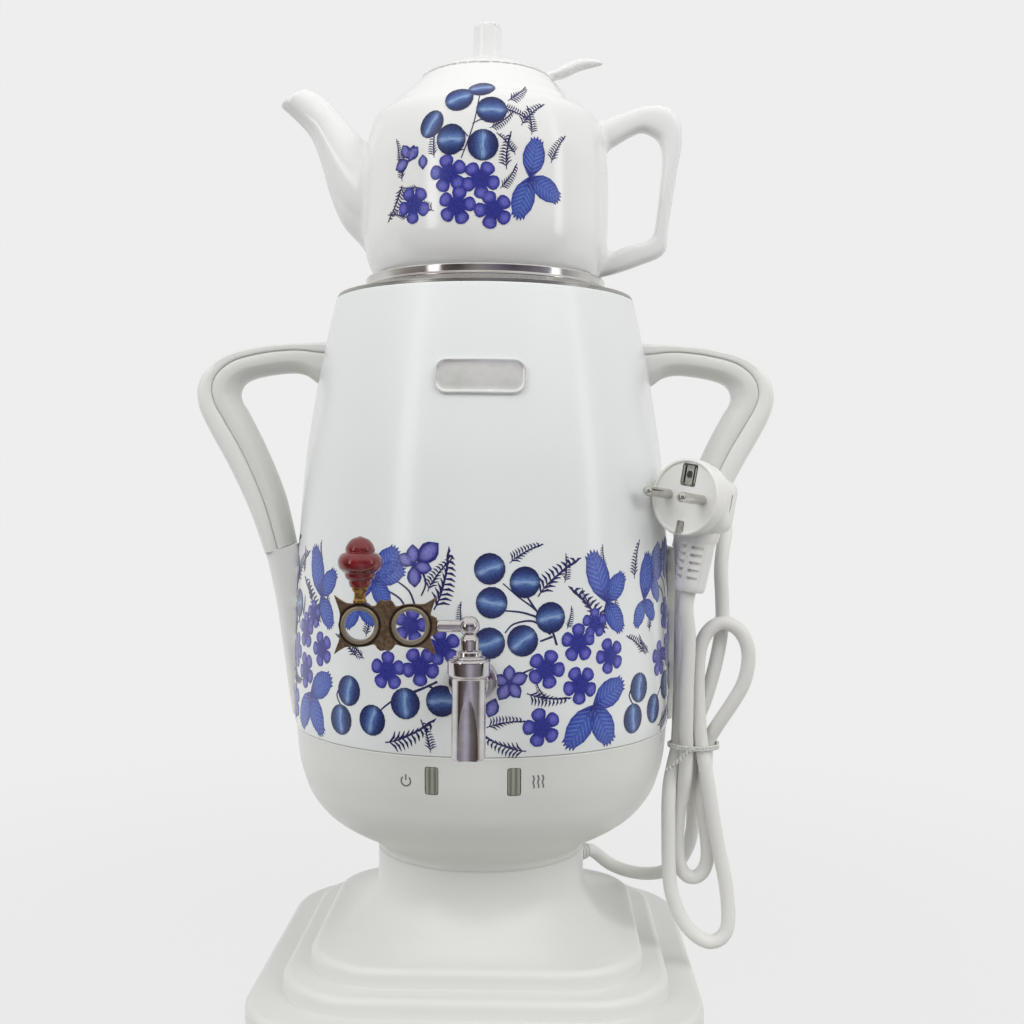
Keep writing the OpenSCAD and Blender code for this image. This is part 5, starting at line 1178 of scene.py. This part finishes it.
def lid_seams(co):
    """Near 1 round the button's foot and along the tab."""
    x, y, z = co[:, 0], np.abs(co[:, 1]), co[:, 2]
    at_button = (np.hypot(x, y) < 9.5) & (z < POT_TOP + 13.5) & (z > POT_TOP + 6)
    at_tab = (x > 22) & (y < 9) & (z > POT_TOP + 2)
    return 0.8 * (at_button | at_tab)


fired(pot_lid, 0.8, lid_seams, 12, np.vstack([dome[2:], button[:2]]))
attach(pot_lid, "teapot_cover")
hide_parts("teapot_lid")

# ---- Printed flowers on the shell -------------------------------------------------------------
# A ceramic-ink transfer fired onto the paint: berries, blossoms, leaves and fern sprigs in blues,
# in the old folk manner. One sheet of 150 mm goes four times round the shell above the seam.


def motif(name, outline, centre, high):
    """A thin chip of ink: its outline, a ring inside it and its middle, with a pattern map."""
    outline, centre = np.asarray(outline, float), np.asarray(centre, float)
    n = len(outline)
    flat = np.vstack([outline, centre + 0.55 * (outline - centre), [centre], outline])
    points = np.column_stack([flat, np.concatenate([np.zeros(2 * n + 1), np.full(n, -0.25)])])
    faces = [tuple(range(3 * n, 2 * n, -1))]
    for i in range(n):
        k = (i + 1) % n
        faces += [(i, k, n + k, n + i), (n + i, n + k, 2 * n), (k, i, 2 * n + 1 + i, 2 * n + 1 + k)]
    return inked(name, points, faces, high)


def inked(name, points, faces, high):
    """A motif's object with its map: 0 to 1 across the width and up the height."""
    made = solid(name, points, faces, grey_ink, 60)
    layer = made.data.uv_layers.new(name="pattern")
    for loop in made.data.loops:
        x, y, _ = made.data.vertices[loop.vertex_index].co / MM
        layer.data[loop.index].uv = (0.5 + x / 2, y / high)
    return made


def blade(*half_widths):
    """The outline of a petal or leaf of unit length from (height, half width) pairs."""
    right = [(w, h) for h, w in half_widths]
    return right + [(-x, y) for x, y in right[::-1] if x > 1e-6]


disc = [(math.sin(a), 1 + math.cos(a)) for a in np.linspace(0, -2 * math.pi, 18, endpoint=False)]
berry = motif("berry", disc, (0, 1), 2)
petal = motif("petal", blade((0, 0.05), (0.18, 0.15), (0.38, 0.27), (0.58, 0.36), (0.76, 0.38), (0.9, 0.29),
                             (0.98, 0.12), (1, 0)), (0, 0.6), 1)
bud = motif("bud", blade((0, 0.03), (0.12, 0.14), (0.32, 0.31), (0.55, 0.36), (0.75, 0.28), (0.9, 0.12),
                         (1, 0)), (0, 0.5), 1)
leaf = motif("leaf", blade((0, 0.04), (0.1, 0.2), (0.28, 0.42), (0.48, 0.5), (0.68, 0.46), (0.8, 0.36),
                           (0.86, 0.3), (0.96, 0.29), (0.91, 0.19), (1.0, 0.17), (0.94, 0.07), (1.03, 0)),
             (0, 0.5), 1.03)
ferns = []
for way in (1, -1):
    spine = [(way * 0.3 * (k / 10) ** 2, k / 10) for k in range(11)]
    strokes = [ribbon(spine, 0.028)]
    for k, (x, y) in enumerate(spine[1:], 1):
        size = 0.27 - 0.011 * k
        for hand in (1, -1):
            a = hand * 0.95 - 0.06 * k * way
            stroke = [(x + reach * size * math.sin(b), y + reach * size * math.cos(b))
                      for reach, b in ((0, a), (0.55, a - 0.25 * hand), (1, a))]
            strokes.append(ribbon(stroke, [0.024, 0.052, 0.012]))
    ferns.append(inked("fern" if way > 0 else "fern_back", *joined(*strokes), 1.2))

wrap = bpy.data.node_groups.new("wrap_on_wall", "GeometryNodeTree")
for label, kind in (
        ("Places", "NodeSocketGeometry"), ("Motif", "NodeSocketObject"), ("Wall", "NodeSocketObject"),
        ("Girth", "NodeSocketFloat"), ("Lift", "NodeSocketFloat"), ("Ink", "NodeSocketMaterial")):
    wrap.interface.new_socket(label, in_out="INPUT", socket_type=kind)
wrap.interface.new_socket("Print", in_out="OUTPUT", socket_type="NodeSocketGeometry")
given = add(wrap, "NodeGroupInput").outputs
turns, sizes = (add(wrap, "GeometryNodeInputNamedAttribute", {"Name": name}, data_type=kind).outputs[0]
                for name, kind in (("turn", "FLOAT"), ("size", "FLOAT_VECTOR")))
chip = add(wrap, "GeometryNodeObjectInfo", {"Object": given["Motif"]}).outputs["Geometry"]
spin = add(wrap, "FunctionNodeEulerToRotation", {0: add(wrap, "ShaderNodeCombineXYZ", {2: turns}).outputs[0]})
copies = add(wrap, "GeometryNodeInstanceOnPoints", {
    "Points": given["Places"], "Instance": chip, "Rotation": spin.outputs[0], "Scale": sizes})
real = add(wrap, "GeometryNodeRealizeInstances", {0: copies.outputs[0]}).outputs[0]
flat = axes(wrap, add(wrap, "GeometryNodeInputPosition").outputs[0])
wall = add(wrap, "GeometryNodeObjectInfo", {"Object": given["Wall"]}).outputs["Geometry"]
on_wall = add(wrap, "GeometryNodeSampleCurve", {"Curves": wall, "Length": flat["Y"]}, mode="LENGTH").outputs
spot = axes(wrap, on_wall["Position"])
run = axes(wrap, on_wall["Tangent"])
off = maths(wrap, "ADD", flat["Z"], given["Lift"])
reach = maths(wrap, "ADD", spot["X"], maths(wrap, "MULTIPLY", off, run["Z"]))
height = maths(wrap, "SUBTRACT", spot["Z"], maths(wrap, "MULTIPLY", off, run["X"]))
bearing = maths(wrap, "DIVIDE", flat["X"], given["Girth"])
back = maths(wrap, "MULTIPLY", reach, maths(wrap, "MULTIPLY", maths(wrap, "COSINE", bearing), -1.0))
across = maths(wrap, "MULTIPLY", reach, maths(wrap, "SINE", bearing))
target = add(wrap, "ShaderNodeCombineXYZ", {0: across, 1: back, 2: height}).outputs[0]
laid = add(wrap, "GeometryNodeSetPosition", {"Geometry": real, "Position": target}).outputs[0]
coloured = add(wrap, "GeometryNodeSetMaterial", {"Geometry": laid, "Material": given["Ink"]}).outputs[0]
wrap.links.new(coloured, add(wrap, "NodeGroupOutput").inputs[0])


def wall_curve(name, line):
    """The wall's profile as a curve of (radius, 0, height)."""
    curve = bpy.data.curves.new(name, "CURVE")
    curve.dimensions = "3D"
    spline = curve.splines.new("POLY")
    spline.points.add(len(line) - 1)
    for knot, (r, z) in zip(spline.points, line):
        knot.co = (r * MM, 0, z * MM, 1)
    made = bpy.data.objects.new(name, curve)
    scene.collection.objects.link(made)
    return made


def print_on(name, shape, places, wall, girth, lift, ink, body):
    """The motif printed at each place: (way round, way up, turn in degrees, width, height) in mm."""
    mesh = bpy.data.meshes.new(name)
    mesh.from_pydata([(p[0] * MM, p[1] * MM, 0) for p in places], [], [])
    for label, kind, field, values in (
            ("turn", "FLOAT", "value", [math.radians(p[2]) for p in places]),
            ("size", "FLOAT_VECTOR", "vector", [v for p in places for v in (p[3], p[4], 1)])):
        mesh.attributes.new(label, kind, "POINT").data.foreach_set(field, values)
    made = bpy.data.objects.new(name, mesh)
    scene.collection.objects.link(made)
    step = made.modifiers.new("print", "NODES")
    step.node_group = wrap
    values = {"Motif": shape, "Wall": wall, "Girth": girth * MM, "Lift": lift * MM, "Ink": ink}
    for socket in wrap.interface.items_tree:
        if socket.in_out == "INPUT" and socket.name in values:
            step[socket.identifier] = values[socket.name]
    applied(made, 60)
    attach(made, body)
    return made


def ink(name, build):
    """Printed ink: build(tree, u, v, brush) gives its colour from the motif's own map."""
    made, tree, shader = finish(name, ior=1.5, coat_weight=0.25, coat_roughness=0.1)
    uv = axes(tree, add(tree, "ShaderNodeUVMap", uv_map="pattern").outputs[0])
    brush = noise(tree, place_of(tree), 900, 3, 0.6)
    tree.links.new(build(tree, uv["X"], uv["Y"], brush), shader.inputs["Base Color"])
    tree.links.new(ramp(tree, brush, [(0.3, 0.24), (0.75, 0.36)]), shader.inputs["Roughness"])
    return made


def far(tree, u, v, u0, v0, wide, high):
    """How far a map point is from (u0, v0), in shares of a width and a height."""
    x = maths(tree, "DIVIDE", maths(tree, "SUBTRACT", u, u0), wide)
    y = maths(tree, "DIVIDE", maths(tree, "SUBTRACT", v, v0), high)
    squares = (maths(tree, "MULTIPLY", leg, leg) for leg in (x, y))
    return maths(tree, "SQRT", maths(tree, "ADD", *squares))


def berry_ink(tree, u, v, brush):
    grain = {0: maths(tree, "MULTIPLY", u, 1.4), 1: maths(tree, "MULTIPLY", v, 16.0)}
    strokes = noise(tree, add(tree, "ShaderNodeCombineXYZ", grain).outputs[0], 2.2, 2, 0.6)
    shifted = maths(tree, "ADD", v, maths(tree, "MULTIPLY", maths(tree, "SUBTRACT", strokes, 0.5), 0.3))
    bands = ramp(tree, shifted, [(0.08, "1e265a"), (0.3, "2f4480"), (0.42, "4d6ca6"), (0.5, "8fabd4"),
                                 (0.57, "5878b2"), (0.72, "304682"), (0.95, "1c2456")])
    edge = ramp(tree, far(tree, u, v, 0.5, 0.5, 0.5, 0.5), [(0.6, 0.0), (0.97, 0.85)])
    return mixed(tree, edge, bands, "1b2250")


def petal_ink(tree, u, v, brush):
    inner = ramp(tree, far(tree, u, v, 0.5, 0.7, 0.17, 0.3), [(0.35, 1.0), (0.75, 0.35), (1.0, 0.0)])
    lined = maths(tree, "MULTIPLY", inner, maths(tree, "ADD", 0.35, brush))
    return mixed(tree, lined, mixed(tree, brush, "22267a", "30349a"), "6a68c4")


def bud_ink(tree, u, v, brush):
    inner = ramp(tree, far(tree, u, v, 0.5, 0.52, 0.135, 0.42), [(0.3, 1.0), (0.7, 0.6), (0.95, 0.0)])
    return mixed(tree, inner, mixed(tree, brush, "20256a", "2b3488"), mixed(tree, brush, "6664b8", "8c8bcd"))


def leaf_ink(tree, u, v, brush):
    from_rib = maths(tree, "ABSOLUTE", maths(tree, "SUBTRACT", u, 0.5))
    slant = maths(tree, "SUBTRACT", v, maths(tree, "MULTIPLY", from_rib, 0.9))
    veins = maths(tree, "SINE", maths(tree, "MULTIPLY", slant, 62.0))
    veins = ramp(tree, veins, [(0.35, 0.0), (0.8, 0.65)])
    field = ramp(tree, far(tree, u, v, 0.5, 0.5, 0.25, 0.5), [(0.4, 0.85), (0.8, 0.5), (1.0, 0.0)])
    rib = ramp(tree, from_rib, [(0.006, 0.0), (0.022, 1.0)])
    light = maths(tree, "MULTIPLY", maths(tree, "MULTIPLY", veins, field), rib)
    body = mixed(tree, field, "252c8a", mixed(tree, brush, "3a4eab", "4b66bd"))
    return mixed(tree, light, mixed(tree, ramp(tree, v, [(0.05, 1.0), (0.3, 0.0)]), body, "23277c"), "7393d2")


def line_ink(tree, u, v, brush):
    return mixed(tree, brush, "1b1d4d", "2c2f66")


berry_blue = ink("berry_blue", berry_ink)
petal_blue = ink("petal_blue", petal_ink)
bud_blue = ink("bud_blue", bud_ink)
leaf_blue = ink("leaf_blue", leaf_ink)
line_blue = ink("line_blue", line_ink)


def leaf_places(groups):
    """Leaves from each node towards their tips."""
    for node, tips in groups:
        for tip in tips:
            x, y = tip[0] - node[0], tip[1] - node[1]
            size = math.hypot(x, y)
            wide = min(13.0, max(8.5, 0.6 * size))
            yield (*node, math.degrees(math.atan2(y, x)) - 90, wide, size)


def blossom_places(blossoms):
    """The five petals of each blossom: (way round, way up, radius, first turn)."""
    for u, s, r, turn in blossoms:
        for k in range(5):
            yield (u, s, turn + 72 * k, r, r)


def berry_places(berries):
    """Each berry about its middle: (way round, way up, turn, half width, half height)."""
    for u, s, turn, wide, high in berries:
        a = math.radians(turn)
        yield (u + high * math.sin(a), s - high * math.cos(a), turn, wide, high)


def even(places):
    """Motifs as wide as they are high: (way round, way up, turn, size)."""
    return [(u, s, turn, size, size) for u, s, turn, size in places]


def tapered(line, widest, thinned):
    """A stem's ribbon, thinner towards its tip."""
    run = through(line, 5)
    return ribbon(run, [widest - thinned * k / (5 * len(line)) for k in range(len(run))])


BERRIES = [(7, 84.5, 20), (23, 78.5, 0), (8, 69.5, 170), (35, 62.5, 10), (7, 51.5, 200), (22, 52.5, 35),
           (-48, 14.5, 75), (-31, 23.5, 95), (-14, 25.5, 5), (88, 26.5, 80), (83, 12.5, 95)]
BLOSSOMS = [(49, 50.5, 9, 0), (67, 43.5, 8.5, 20), (33, 39.5, 9, 50), (50, 31.5, 9, 30), (31, 13.5, 9, 15),
            (-40, 37.5, 9, 0), (-24, 40.5, 9, 36), (-29, 58.5, 8.5, 60), (-14, 49.5, 8.5, 12), (58, 59, 7, 0)]
LEAVES = [((65, 68.5), ((56, 92), (77, 81), (75, 54))), ((93, 67.5), ((99, 90), (104, 58), (85, 55))),
          ((57, 21.5), ((76, 31), (43, 3), (68, 2.5))), ((-49, 78.5), ((-36, 93), (-32, 84), (-40, 66)))]
BUDS = [(-28, 85.5, 60, 9), (-28, 85.5, 5, 9.5), (-26, 87, -48, 13), (-28, 85.5, -100, 9),
        (-28, 85.5, 185, 10), (16, 34, 0, 8), (16, 34, 75, 8), (16, 34, 150, 9), (16, 34, 215, 8.5),
        (16, 34, 290, 9), (10, 27, 160, 9)]
FERNS = [(16, 87, -45, 15), (29, 72, -35, 23), (6, 14, -65, 15), (24, 3, 85, 19), (65, 83, 25, 10),
         (85, 78, 0, 16), (98, 52, -5, 12), (-53, 42, 60, 11), (56, 66, 45, 9), (-21, 74, -20, 16),
         (34, 25, 50, 9), (-5, 58, 20, 10)]
BACK_FERNS = [(64, 54, 25, 25), (-18, 66, -30, 24), (-41, 5, -80, 23), (-19, 2, 0, 13), (24, 29, -115, 18),
              (93, 42, 40, 15), (-41, 81, -60, 10), (42, 78, -20, 11), (66, 56, 60, 13), (72, 62, 0, 9),
              (43, 57, -30, 9), (-3, 36, 10, 8)]
STEMS = [((38, 50), (35, 58), (28, 66), (20, 72), (13, 78)), ((33, 60), (35, 57)), ((28, 66), (24, 72)),
         ((31, 62), (22, 65), (13, 66)), ((35, 55), (27, 61), (18, 60), (14, 56)), ((36, 54), (30, 52)),
         ((-16, 34), (-24, 30), (-28, 28)), ((-22, 31), (-36, 25), (-44, 19)), ((-20, 32), (-16, 30)),
         ((-30, 62), (-34, 70), (-44, 75), (-49, 78)), ((-26, 64), (-30, 74), (-40, 80)),
         ((16, 34), (22, 38), (27, 40)), ((86, 30), (80, 24), (84, 18)), ((-25, 85), (-22, 78), (-24, 72)),
         ((65, 68), (62, 60), (57, 55))]
SHEET, SHEETS, BERRY_R = 150.17, 4, 7.1
SHELL_GIRTH = SHEET * SHEETS / (2 * math.pi)


def repeated(places):
    """The same places on every sheet round the shell."""
    return [(p[0] + SHEET * k, *p[1:]) for k in range(SHEETS) for p in places]


shell_wall = wall_curve("shell_wall", shell_line)
stems = inked("stems", *joined(*(tapered(line, 1.1, 0.7) for line in STEMS)), 100)
berry_middles = [(u, s, turn, BERRY_R, BERRY_R) for u, s, turn in BERRIES]
for name, shape, places, lift, material in (
        ("shell_stems", stems, [(0, 0, 0, 1, 1)], 0.10, line_blue),
        ("shell_ferns", ferns[0], even(FERNS), 0.10, line_blue),
        ("shell_ferns_back", ferns[1], even(BACK_FERNS), 0.10, line_blue),
        ("shell_leaves", leaf, list(leaf_places(LEAVES)), 0.14, leaf_blue),
        ("shell_buds", bud, even(BUDS), 0.16, bud_blue),
        ("shell_blossoms", petal, list(blossom_places(BLOSSOMS)), 0.18, petal_blue),
        ("shell_berries", berry, list(berry_places(berry_middles)), 0.22, berry_blue)):
    print_on(name, shape, repeated(places), shell_wall, SHELL_GIRTH, lift, material, "boiler")
bpy.data.objects.remove(shell_wall)
bpy.data.objects.remove(stems)

# ---- Printed flowers on the teapot ------------------------------------------------------------
# The same inks in one rounded spray on the teapot's front, laid on as a small transfer and fired
# under the glaze.
pot_wall = wall_curve("pot_wall", pot_line)
POT_GIRTH, PRINT_FOOT_Z = 61.5, 374
start = float(np.interp(PRINT_FOOT_Z, pot_line[:, 1], travelled(pot_line)))
POT_BERRIES = [(0, 68, 15, 7.2, 5.6), (-11, 61, 20, 7.2, 6.4), (5, 55, 0, 7.4, 6.6), (-24, 49, 60, 7, 5.6),
               (-14, 41, 0, 7, 7.4), (1, 38, 90, 7.4, 7.2)]
POT_BLOSSOMS = [(-15, 25, 9, 10), (0, 22, 9, 40), (-11, 10, 9, 60), (6, 8, 9, 20), (-33, 12, 9, 30)]
POT_LEAVES = [((23, 24), ((27, 43), (39, 15), (17, 4)))]
POT_BUDS = [(-36, 33, 110, 9), (-36, 34, 30, 8), (-36, 33, -40, 8), (-28, 28, 0, 7), (-33, 40, 160, 8)]
POT_FERNS = [(12, 27, 10, 15), (13, 60, -60, 15), (19, 48, -30, 15), (4, 46, -70, 12), (-40, 22, 165, 16),
             (-22, 8, 60, 14), (34, 32, -15, 14), (9, 18, -50, 12), (-22, 33, 15, 12), (-36, 6, 60, 12),
             (-40, 24, 10, 12), (24, 44, -10, 12), (10, 56, -95, 12), (-42, 32, -5, 11), (-30, 20, 100, 10),
             (16, 34, 25, 11)]
POT_STEMS = [((-9, 32), (-6, 40), (-3, 50), (-1, 62)), ((-6, 42), (-10, 46), (-17, 46)),
             ((-4, 48), (0, 50), (4, 49)), ((-8, 36), (-14, 34), (-15, 30))]
pot_stems = inked("pot_stems", *joined(*(tapered(line, 0.5, 0) for line in POT_STEMS)), 100)
pot_leaves = [(u, s, turn, 11, high) for u, s, turn, _, high in leaf_places(POT_LEAVES)]
for name, shape, places, lift, material in (
        ("pot_print_stems", pot_stems, [(0, 0, 0, 1, 1)], 0.12, line_blue),
        ("pot_print_ferns", ferns[0], even(POT_FERNS[::2]), 0.12, line_blue),
        ("pot_print_ferns_back", ferns[1], even(POT_FERNS[1::2]), 0.12, line_blue),
        ("pot_print_leaves", leaf, pot_leaves, 0.18, leaf_blue),
        ("pot_print_buds", bud, even(POT_BUDS), 0.2, bud_blue),
        ("pot_print_blossoms", petal, list(blossom_places(POT_BLOSSOMS)), 0.22, petal_blue),
        ("pot_print_berries", berry, list(berry_places(POT_BERRIES)), 0.27, berry_blue)):
    places = [(p[0], p[1] + start, *p[2:]) for p in places]
    print_on(name, shape, places, pot_wall, POT_GIRTH, lift, material, "teapot")
for spare in (pot_wall, pot_stems, berry, petal, bud, leaf, *ferns):
    bpy.data.objects.remove(spare)
